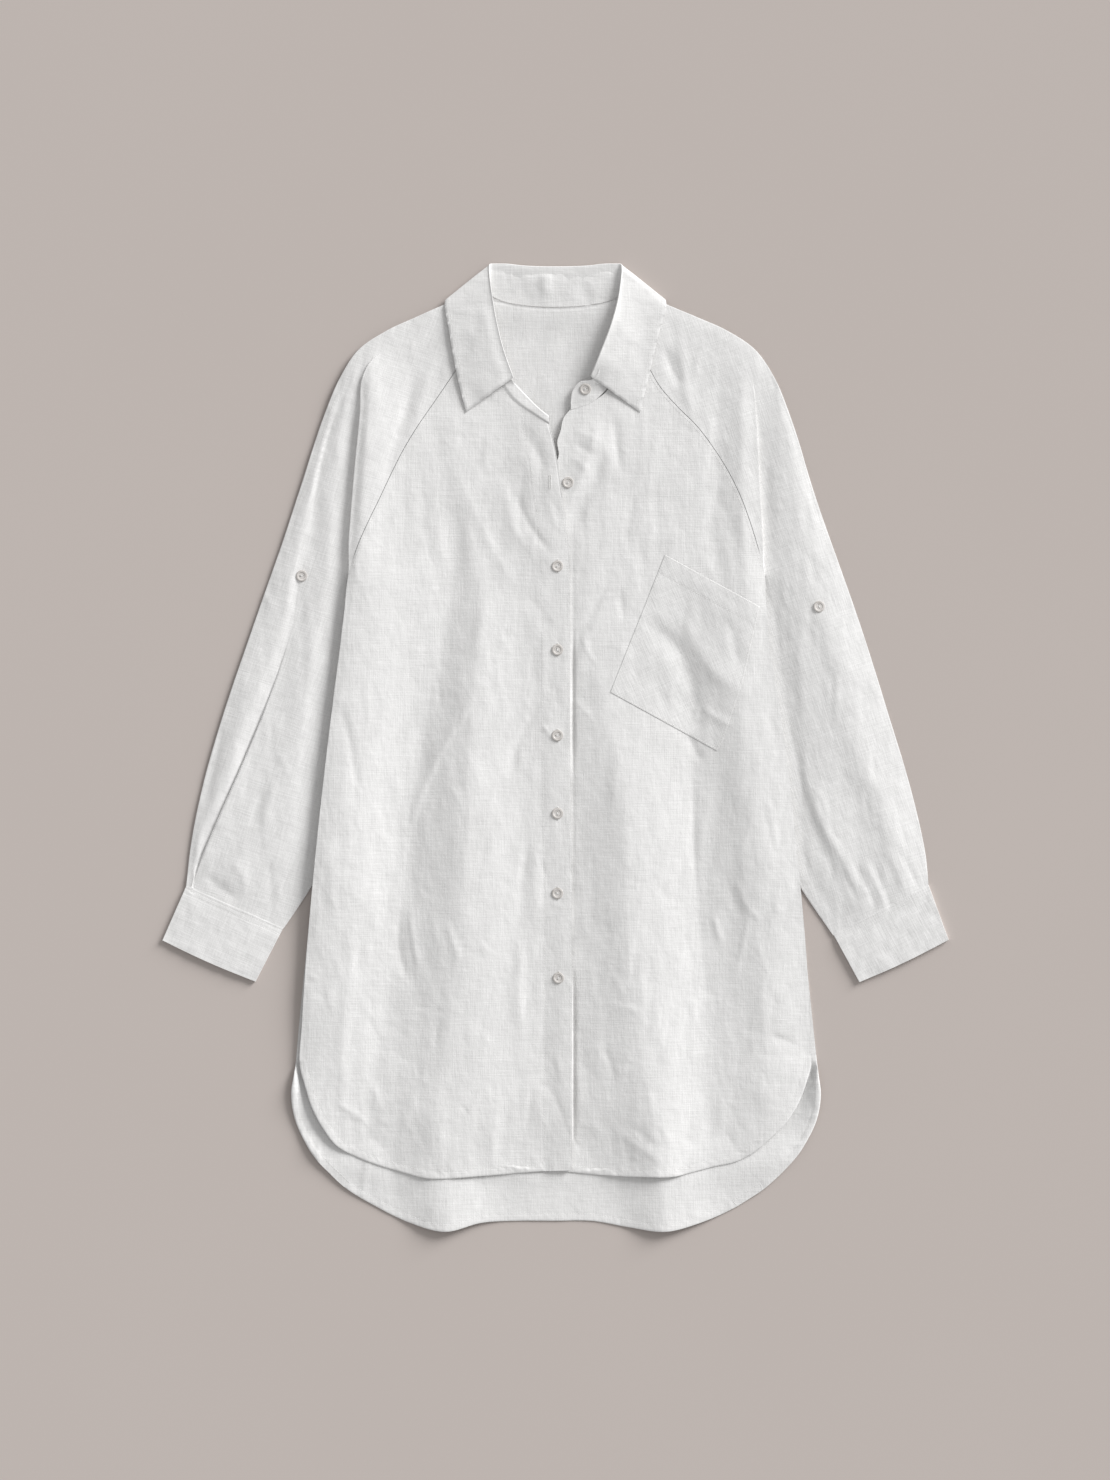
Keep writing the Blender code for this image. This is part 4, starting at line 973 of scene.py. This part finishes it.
def neck_section(section):
    """Points up the stand, and over the roll to the collar's edge. Where the stand lies on the
    fronts, ahead of the collar, its heights are those above the cloth."""
    turn = np.radians(section.turn)
    base, crest = np.array(section.base, float), np.array(section.crest, float)
    inward = np.append(np.array((0, 430)) - crest[:2], 0)
    inward /= np.linalg.norm(inward)
    if section.edge is None:
        base -= 2.2 * inward
        ground = (left_body if base[0] > 0 else right_body)(base[None, :2])[0]
        base[2] += ground + 0.08
        crest[2] += ground + 0.3
        lip = crest + (1.7 * inward - (0, 0, 0.6) if base[0] < 0 else 0.8 * inward - (0, 0, 0.2))
        return np.vstack([np.linspace(base, crest, 4), lip]), None
    tip = np.cos(turn) * np.array((0, 0, 1)) - np.sin(turn) * inward
    across = np.cos(turn) * inward + np.sin(turn) * np.array((0, 0, 1))
    radius = 0.9 + (-0.4 if crest[0] < 0 else 0.2) * np.cos(turn)
    centre = crest - radius * tip
    roll = [centre + radius * (np.sin(a) * tip + np.cos(a) * across)
            for a in np.radians((0, 45, 90, 135))]
    edge = np.array(section.edge, float)
    leaf = [roll[-1] + (edge - roll[-1]) * (share, share, 1 - (1 - share) ** 1.6)
            for share in (0.25, 0.5, 0.75, 1)]
    start = base + 0.5 * (roll[0] - base) - 1.2 * across
    top = base + 0.7 * (roll[0] - base)
    return (np.vstack([np.linspace(base, top, 4), top + 0.12 * (roll[0] - base) - 0.35 * across]),
            np.array([start, *roll, *leaf]))


def loft_curve(points, steps):
    """A smooth curve with the same number of steps between each two points."""
    spans = np.linalg.norm(np.diff(points, axis=0), axis=1)[:, None]
    slopes = np.diff(points, axis=0) / spans
    middle = (slopes[:-1] * spans[1:] + slopes[1:] * spans[:-1]) / (spans[1:] + spans[:-1])
    limit = 3 * np.minimum(np.abs(slopes[:-1]), np.abs(slopes[1:])) * (slopes[:-1] * slopes[1:] > 0)
    tangents = np.vstack([slopes[:1], np.clip(middle, -limit, limit), slopes[-1:]])
    t = np.linspace(0, 1, steps + 1)[1:, None]
    made = [points[:1]]
    for i, span in enumerate(spans):
        made.append(points[i] * (1 + 2 * t) * (1 - t) ** 2 + points[i + 1] * t**2 * (3 - 2 * t)
                    + tangents[i] * span * t * (1 - t) ** 2
                    - tangents[i + 1] * span * t**2 * (1 - t))
    return np.vstack(made)


def lofted(sections, across, down):
    """A fine grid of points on smooth curves through a rough one."""
    rough = np.array(sections)
    wide = np.stack([loft_curve(rough[:, i], across) for i in range(rough.shape[1])], axis=1)
    return np.stack([loft_curve(row, down) for row in wide])


def sheet_of(name, grid, thickness, rim, closed=False):
    """A doubled band or collar from a grid of points on its upper side: thickened below them,
    and with its rims rounded."""
    rows, columns = grid.shape[:2]
    last = columns if closed else columns - 1
    faces = [(i * columns + j, i * columns + (j + 1) % columns,
              (i + 1) * columns + (j + 1) % columns, (i + 1) * columns + j)
             for i in range(rows - 1) for j in range(last)]
    piece = new_object(name, grid.reshape(-1, 3), faces)
    bpy.ops.object.select_all(action="DESELECT")
    piece.select_set(True)
    bpy.context.view_layer.objects.active = piece
    solid = piece.modifiers.new("thickness", "SOLIDIFY")
    solid.thickness, solid.offset = thickness * MM, -1
    bpy.ops.object.modifier_apply(modifier=solid.name)
    if rim:
        bevel = piece.modifiers.new("rims", "BEVEL")
        bevel.width, bevel.segments, bevel.limit_method = rim * MM, 2, "ANGLE"
        bevel.angle_limit, bevel.harden_normals = np.radians(60), True
        bpy.ops.object.modifier_apply(modifier=bevel.name)
    piece.data.shade_smooth()
    piece.data.set_sharp_from_angle(angle=np.radians(50))
    return piece


round_the_neck = [*RIGHT_NECK, *behind_neck(-1), MIDDLE_OF_NECK, *behind_neck(1)[::-1], *LEFT_NECK[::-1]]
neck = [neck_section(section) for section in round_the_neck]
ROWS = 4  # rows of the mesh between two points of a section
stand_grid = lofted([stand for stand, _ in neck], 7, ROWS)
collar_grid = lofted([leaf for _, leaf in neck if leaf is not None], 8, ROWS)

# The stand's ends are sewn down to the fronts, and the right one lies flat on its front.
seam_x, seam_y, seam_z = stand_grid[:, 0].T
seam_flat = stand_grid[:, 0, :2]
ground = np.where(seam_x > 0, left_body(seam_flat), right_body(seam_flat))
slack = eased(seam_y, 392, 378) * (seam_z - ground + 0.25)
share = np.linspace(0, 1, stand_grid.shape[1])
stand_grid[..., 2] -= slack[:, None] * (1 - share)
lying = 0.85 * eased(share, 0, 0.22) - 0.25 * eased(share, 0.22, 0.85) - 0.6 * eased(share, 0.85, 1)
lies = (eased(seam_y, 386, 374) * (seam_x < 0))[:, None]
stand_grid[..., 2] += lies * (ground[:, None] - 0.5 + lying - stand_grid[..., 2])

# The collar's leaves ripple away from the roll, and the right one bellies beside it. The roll
# and the leaf beyond it are four steps of a section each.
leaf_share = np.clip(np.arange(collar_grid.shape[1]) / (4 * ROWS) - 1, 0, 1)
flat = collar_grid[..., :2].reshape(-1, 2)
ripples = 0.3 * rumple(61, 16, 22)(flat)
ripples += crumple(flat, 62, 60, (-118, 345), (118, 505), (12, 34), 0.2, spread=60)
ripples = ripples.reshape(collar_grid.shape[:2])
belly = 0.9 * eased(leaf_share, 0, 0.2) * (1 - eased(leaf_share, 0.25, 1)) * (collar_grid[..., 0] < 0)
upright = collar_grid[..., 1] < 455
collar_grid[..., 2] += (belly + ripples * np.clip(leaf_share * 2, 0, 1)) * upright

# The stand puckers behind the neck, and wavers at its left end.
flat = stand_grid[..., :2].reshape(-1, 2)
pucker = crumple(flat, 63, 40, (-62, 462), (62, 500), (20, 44), 0.5, spread=8) * (flat[:, 1] > 455)
at_end = (flat[:, 1] < 380) * (flat[:, 0] > 10)
pucker += 0.15 * at_end * np.sin(flat[:, 1] / 2.6)
stand_grid[..., 2] += pucker.reshape(stand_grid.shape[:2])
collar_linen = washed_linen("washed_linen_collar", 90)
stand = sheet_of("neck_stand", stand_grid[:, ::-1], 0.6, 0)
dress(stand, ["collar_stand"], collar_linen, "linen", flat=(0.43, 0.03), area=0.0091,
      held="folded", rests_on=["right_front", "left_front", "back_panel"])
collar = sheet_of("collar_fall", collar_grid[:, ::-1], 0.55, 0.08)
dress(collar, ["collar"], collar_linen, "linen", flat=(0.46, 0.075), area=0.028, held="folded",
      rests_on=["neck_stand"])

# ---- Cuffs ----
# The real pieces are doubled bands of linen with a light interlining, closed into a tube and
# sewn over the gathered end of each sleeve. They lie flattened, with crisp pressed edges.

# A cuff is about 60 mm deep, and is measured down from the sleeve's end in 54 even steps.
CUFF_STEPS_DOWN = 54
CUFF_STITCHED = (2.6, 6.8)  # how many steps down its two rows of stitches run
CUFF_POINTS = 45


def cuff(side):
    """One cuff as a flattened tube. It starts on the sleeve's end, sewn down, and rises to its
    full thickness below."""
    west, east, low_west, low_east = np.array(CUFF[side], float)
    along = (low_west + low_east - west - east) / 2
    along /= np.linalg.norm(along)
    waves = rumple(71 if side == "right" else 72, 12, 16)
    steps = np.linspace(0, 1, CUFF_POINTS)
    rows = []
    for down in np.concatenate([np.arange(0, 9, 0.6), np.linspace(9, CUFF_STEPS_DOWN, 22)]):
        share = down / CUFF_STEPS_DOWN
        left, right = west + share * (low_west - west), east + share * (low_east - east)
        width = np.linalg.norm(right - left)
        across = (right - left) / width
        run = left + np.outer(0.3 + steps * (width - 0.6), across)
        run += (share * 1.5 * np.sin(np.pi * steps))[:, None] * along
        swell = 0.25 * waves(run) + 0.5 * np.sin(np.pi * steps)
        sunk = 0.12 * sum(ridge(down, row, 0.7) for row in CUFF_STITCHED) + 0.2 * (1 - eased(down, 0, 1.2))
        joined = eased(down, 0, 14)
        sleeve_end = sleeve_shapes[side](run + (west - low_west) / CUFF_STEPS_DOWN * 1.2)[1]
        top = joined * (3.6 + swell) + (1 - joined) * (sleeve_end + 0.25) - sunk
        rounds = []
        for middle, way, height, turns in (
            (run[-1], across, top[-1], np.arange(70, -71, -20)),
            (run[0], -across, top[0], np.arange(-70, 71, 20)),
        ):
            turns = np.radians(turns)
            rounds.append(np.column_stack([
                middle + 0.3 * np.outer(np.cos(turns), way), height / 2 * (1 + 0.9 * np.sin(turns)),
            ]))
        bottom = np.column_stack([run[::-1], np.zeros(CUFF_POINTS)])
        rows.append(np.vstack([np.column_stack([run, top]), rounds[0], bottom, rounds[1]]))
    piece = sheet_of("cuff_" + side + "_band", np.array(rows)[::-1], 0.9, 0, closed=True)
    turn = 24 if side == "right" else -28
    dress(piece, ["cuff_" + side], washed_linen(f"washed_linen_{side}_cuff", turn), "linen",
          flat=(0.215, 0.054), area=0.0116, held="folded", rests_on=["front_sleeve_" + side])
    return piece


cuffs = dict(right=cuff("right"), left=cuff("left"))

# ---- Topstitching ----
# The real seams, hems, collar, cuffs, placket and pocket are topstitched with white cotton
# thread, about nine stitches to the inch.

# Spun cotton, matt, its twist a little uneven in tone every millimetre or so.
thread, thread_tree, thread_shader = new_material("white_cotton_thread")
thread_noise = add(thread_tree, "TexNoise", {
    "Vector": add(thread_tree, "TexCoord").outputs["Object"], "Scale": 900.0, "Detail": 2.0,
})
thread_ramp = add(thread_tree, "ValToRGB", {0: thread_noise.outputs["Fac"]})
for stop, colour in zip(thread_ramp.color_ramp.elements, ("#d8d7d5", "#e9e8e6")):
    stop.color = linear(colour)
fill_in(thread_shader, {"Base Color": thread_ramp.outputs[0], "Roughness": 0.6})


def sewn(name, middles, ways, length, radius):
    """Many short stitches as one mesh: spindles at their places, along their directions."""
    middles, ways = np.array(middles, float), np.array(ways, float)
    ways /= np.linalg.norm(ways, axis=1)[:, None]
    over = np.cross(ways, (0, 0, 1.0))
    over /= np.linalg.norm(over, axis=1)[:, None]
    up = np.cross(over, ways)
    points, faces = [], []
    for middle, way, side_way, lift in zip(middles, ways, over, up):
        first = len(points)
        points.append(middle - way * length / 2)
        for along in (-0.3, 0.3):
            for turn in np.arange(6) * np.pi / 3:
                ring = radius * (np.cos(turn) * side_way + np.sin(turn) * lift)
                points.append(middle + way * length * along + ring)
        points.append(middle + way * length / 2)
        for i in range(6):
            j = (i + 1) % 6
            faces.append((first, first + 1 + i, first + 1 + j))
            faces.append((first + 1 + i, first + 7 + i, first + 7 + j, first + 1 + j))
            faces.append((first + 7 + i, first + 13, first + 7 + j))
    piece = new_object(name, points, faces)
    piece.data.shade_smooth()
    dress(piece, [], thread, "linen")
    return piece


def inside_of(path, inset):
    """A line drawn beside part of an outline, this far inside it."""
    ahead = np.gradient(path, axis=0)
    ahead /= np.linalg.norm(ahead, axis=1)[:, None]
    return (path + inset * np.column_stack([-ahead[:, 1], ahead[:, 0]]))[3:-3]


def on_top_of(pieces, points):
    """Points raised to the top of some pieces; one that misses them all has no height."""
    work = bmesh.new()
    for piece in pieces:
        work.from_mesh(piece.data)
    tree = BVHTree.FromBMesh(work)
    work.free()
    points = np.array(points)[:, :2]
    hits = [tree.ray_cast(Vector((*point * MM, 1)), Vector((0, 0, -1)))[0] for point in points]
    return np.column_stack([points, [hit.z / MM if hit else np.nan for hit in hits]])


STITCH = 2.8  # from one needle hole to the next; 2.3 of it shows as thread


def topstitched(name, rows, piece):
    """Rows of stitches along lines seen from above, on a piece's top."""
    middles, ways = [], []
    for row in rows:
        row = on_top_of([piece], evenly(row, STITCH))
        way = row[1:] - row[:-1]
        kept = np.abs(way[:, 2]) < 1.5
        middles.append(((row[1:] + row[:-1]) / 2)[kept])
        ways.append(way[kept])
    sewn(name, np.vstack(middles), np.vstack(ways), 2.3, 0.15)


for side, front, raglan in (("right", right_front, right_raglan), ("left", left_front, left_raglan)):
    topstitched(side + "_front_stitching",
                [inside_of(front_hems[side], STITCHED), inside_of(raglan, 2.6)], front)
topstitched("tail_hem_stitching", [inside_of(tail_hem, STITCHED)], back)
topstitched("placket_stitching",
            [inside_of(placket_inner, 1.6), inside_of(placket_outer, 1.8)], placket)
pocket_seam = part_of(pocket_edge, (114, 200), (212, 146))
topstitched("pocket_stitching", [inside_of(pocket_seam, 1.5), pocket_hem[1:-1]], pocket)
for side, row in (("right", ((-224, 376), (-245, 318), (-264, 262), (-282, 209))),
                  ("left", ((230, 378), (252, 316), (268, 262), (283, 208)))):
    topstitched(side + "_overarm_stitching", [curve(row, STITCH)],
                bpy.data.objects["front_sleeve_" + side])
for side, band in cuffs.items():
    west, east, low_west, _ = np.array(CUFF[side], float)
    shares = np.linspace(0.03, 0.97, 30)
    topstitched(side + "_cuff_stitching",
                [west + (low_west - west) * row / CUFF_STEPS_DOWN + np.outer(shares, east - west)
                 for row in CUFF_STITCHED], band)
leaf_rim = collar_grid[:, -3:-1, :2].mean(axis=1)
leaf_rim = leaf_rim[(collar_grid[:, -1, 1] <= 450) | (np.abs(collar_grid[:, -1, 0]) >= 112)]
topstitched("collar_stitching", [leaf_rim[leaf_rim[:, 0] < 0], leaf_rim[leaf_rim[:, 0] > 0]], collar)

# ---- Buttonholes ----
# Each real one is a slit 13 mm long, cut through the placket along its length and closely sewn
# round with the same thread. The topmost is unfastened and stands open to view.

# The buttonholes that are fastened, from the top down.
FASTENED = ((2, 188), (2, 101), (2, 12), (2, -69), (2, -152), (3, -240))
hole_middles, hole_ways = [], []
for x, y in ((-5.7, 275.6), *FASTENED):
    for across in (-0.75, 0.75):
        for along in np.arange(-6.5, 6.6, 0.5):
            hole_middles.append((x + across, y + along))
            hole_ways.append((1, 0, 0))
    for along in (-7.0, 7.0):
        for across in (-0.8, 0, 0.8):
            hole_middles.append((x + across, y + along))
            hole_ways.append((0, 1, 0))
sewn("buttonhole_stitching", on_top_of([placket, right_front], hole_middles), hole_ways, 1.15, 0.24)

# ---- Buttons ----
# The real ones are ten round shell buttons, 11.5 mm across, each turned with a rounded rim and
# a dished middle, drilled with two holes and sewn on with one bar of thread.

button_radius, button_height, hole_radius, hole_offset = 5.75, 1.1, 0.8, 1.5

# Mother of pearl, cut and polished: hard and smooth, in wavy layers 2 to 6 mm across of slightly different
# greys, with painted shade darkening its outer rim and a ring round the dish.
shell, shell_tree, shell_shader = new_material("polished_shell")
shell_place = add(shell_tree, "Mapping", {
    "Vector": add(shell_tree, "TexCoord").outputs["Object"], "Scale": (160, 420, 300),
})
shell_layers = add(shell_tree, "TexNoise", {
    "Vector": shell_place.outputs[0], "Scale": 1.0, "Detail": 3.0, "Distortion": 0.8,
})
shell_ramp = add(shell_tree, "ValToRGB", {0: shell_layers.outputs["Fac"]})
for stop, position, colour in zip(shell_ramp.color_ramp.elements, (0.35, 0.65), ("#c6c2be", "#dcd8d5")):
    stop.position, stop.color = position, linear(colour)
# Painted shade: the mesh's edge attribute darkens the colour on the outer rim and on a ring round the
# dish.
shell_painted_shade = add(shell_tree, "Attribute", attribute_name="edge")
shell_colour = add(shell_tree, "Mix", {
    0: shell_painted_shade.outputs["Fac"], 6: shell_ramp.outputs[0], 7: linear("#dad7d4"),
}, data_type="RGBA", blend_type="MULTIPLY")
fill_in(shell_shader, {"Base Color": shell_colour.outputs[2], "Roughness": 0.32})

bpy.ops.object.select_all(action="DESELECT")
bpy.ops.mesh.primitive_cylinder_add(vertices=48, radius=button_radius * MM, depth=button_height * MM,
                                    location=(0, 0, button_height / 2 * MM))
blank = bpy.context.object
blank.name = "button_blank"
bpy.ops.object.transform_apply(location=True)
bpy.ops.object.mode_set(mode="EDIT")
bpy.ops.mesh.select_mode(type="FACE")
bpy.ops.mesh.select_all(action="DESELECT")
bpy.ops.object.mode_set(mode="OBJECT")
for face in blank.data.polygons:
    face.select = face.normal.z > 0.9
bpy.ops.object.mode_set(mode="EDIT")
bpy.ops.mesh.inset(thickness=1.9 * MM, depth=0)
bpy.ops.mesh.inset(thickness=0.45 * MM, depth=-0.4 * MM)
bpy.ops.mesh.inset(thickness=0.5 * MM, depth=0)
bpy.ops.object.mode_set(mode="OBJECT")
rim = blank.modifiers.new("rim", "BEVEL")
rim.width, rim.segments, rim.limit_method = 0.45 * MM, 3, "ANGLE"
rim.angle_limit = np.radians(35)
bpy.ops.object.modifier_apply(modifier=rim.name)
for x in (-hole_offset, hole_offset):
    bpy.ops.object.select_all(action="DESELECT")
    bpy.ops.mesh.primitive_cylinder_add(vertices=16, radius=hole_radius * MM, depth=6 * MM,
                                        location=(x * MM, 0, 0))
    drill = bpy.context.object
    bpy.ops.object.select_all(action="DESELECT")
    blank.select_set(True)
    bpy.context.view_layer.objects.active = blank
    hole = blank.modifiers.new("hole", "BOOLEAN")
    hole.operation, hole.object, hole.solver = "DIFFERENCE", drill, "EXACT"
    bpy.ops.object.modifier_apply(modifier=hole.name)
    bpy.data.objects.remove(drill)
bpy.ops.object.shade_smooth_by_angle(angle=np.radians(35))
# The edge attribute holds painted shade: strongest on a ring round the dish, a little weaker on the outer
# rim.
painted_shade_share = blank.data.attributes.new("edge", "FLOAT", "POINT")
for vertex, share in zip(blank.data.vertices, painted_shade_share.data):
    out = vertex.co.xy.length / MM
    share.value = 0.7 if out > 5.4 else 1.0 if 3.2 < out < 3.6 else 0.0

# Each button's node, where it is sewn, and how far its holes are turned, in degrees.
NAMES = (*[f"button_{i}" for i in range(1, 9)], "sleeve_button_right", "sleeve_button_left")
PLACES = ((31, 372), (13, 275), *FASTENED, (-264, 178), (274, 146))
TURNS = (23, 52, 40, 115, 10, 85, 160, 55, 12, 100)
below = [right_front, left_front, placket, stand, bpy.data.objects["front_sleeve_right"],
         bpy.data.objects["front_sleeve_left"]]
bar_middles, bar_ways = [], []
ring = np.radians(np.arange(0, 360, 30))
for node, (x, y), turn in zip(NAMES, PLACES, TURNS):
    seat = on_top_of(below, np.column_stack([x + 4.5 * np.cos(ring), y + 4.5 * np.sin(ring)]))
    seat = seat[np.isfinite(seat[:, 2])]
    plane = np.column_stack([seat[:, :2] - (x, y), np.ones(len(seat))])
    slope_x, slope_y, height = np.linalg.lstsq(plane, seat[:, 2], rcond=None)[0]
    height += (seat[:, 2] - plane @ (slope_x, slope_y, height)).max() - 0.1
    tilt = Vector((0, 0, 1)).rotation_difference(Vector((-slope_x, -slope_y, 1))).to_matrix().to_4x4()
    place = Matrix.Translation((x * MM, y * MM, height * MM)) @ tilt @ Matrix.Rotation(
        np.radians(turn), 4, "Z")
    mesh = blank.data.copy()
    mesh.transform(place)
    button = bpy.data.objects.new("shell_" + node, mesh)
    bpy.context.scene.collection.objects.link(button)
    dress(button, [node], shell, "button_shell")
    for strand in (-0.45, -0.15, 0.15, 0.45):
        middle = place @ Vector((0, strand * MM, (1.0 - abs(strand)) * MM))
        bar_middles.append(np.array(middle) / MM)
        bar_ways.append(np.array(place.to_3x3() @ Vector((1, 0, 0))))
sewn("button_threads", bar_middles, bar_ways, 2 * hole_offset, 0.25)
bpy.data.objects.remove(blank)

# ---- Table, light and camera ----
# A plain board painted matt grey, one large soft lamp from the upper right and an even fill.
# The camera hangs straight above the shirt.

bpy.ops.mesh.primitive_plane_add(size=8, location=(0, 0, -0.0002))
table = bpy.context.object
table.name = "table_top"
paint, paint_tree, paint_shader = new_material("matt_painted_board")
paint_grain = add(paint_tree, "TexNoise", {
    "Vector": add(paint_tree, "TexCoord").outputs["Object"], "Scale": 3.0, "Detail": 2.0,
})
paint_ramp = add(paint_tree, "ValToRGB", {0: paint_grain.outputs["Fac"]})
for stop, colour in zip(paint_ramp.color_ramp.elements, ("#bcb3ae", "#beb5b0")):
    stop.color = linear(colour)
fill_in(paint_shader, {
    "Base Color": paint_ramp.outputs[0], "Roughness": 0.9, "Specular IOR Level": 0.1,
})
table.data.materials.append(paint)

world = bpy.data.worlds.new("even_fill")
world.use_nodes = True
fill_in(world.node_tree.nodes["Background"], {"Color": (1, 1, 1, 1), "Strength": 0.5})
bpy.context.scene.world = world

lamp = bpy.data.objects.new("soft_lamp", bpy.data.lights.new("soft_lamp", "SUN"))
lamp_height = np.radians(20)
lamp.data.angle = np.radians(28)
lamp.data.energy = 0.5 * np.pi / np.sin(lamp_height)
towards = Vector((0.75, 0.66, np.tan(lamp_height)))
lamp.rotation_mode = "QUATERNION"
lamp.rotation_quaternion = towards.to_track_quat("Z", "Y")
bpy.context.scene.collection.objects.link(lamp)

camera_height, cloth_height, view_height = 5, 0.004, 1.5392
camera = bpy.data.objects.new("camera", bpy.data.cameras.new("camera"))
camera.location = (-0.0005, 0.0073, camera_height)
camera.data.lens = camera.data.sensor_width * (camera_height - cloth_height) / view_height
bpy.context.scene.collection.objects.link(camera)
bpy.context.scene.camera = camera
bpy.context.scene.view_settings.view_transform = "Standard"
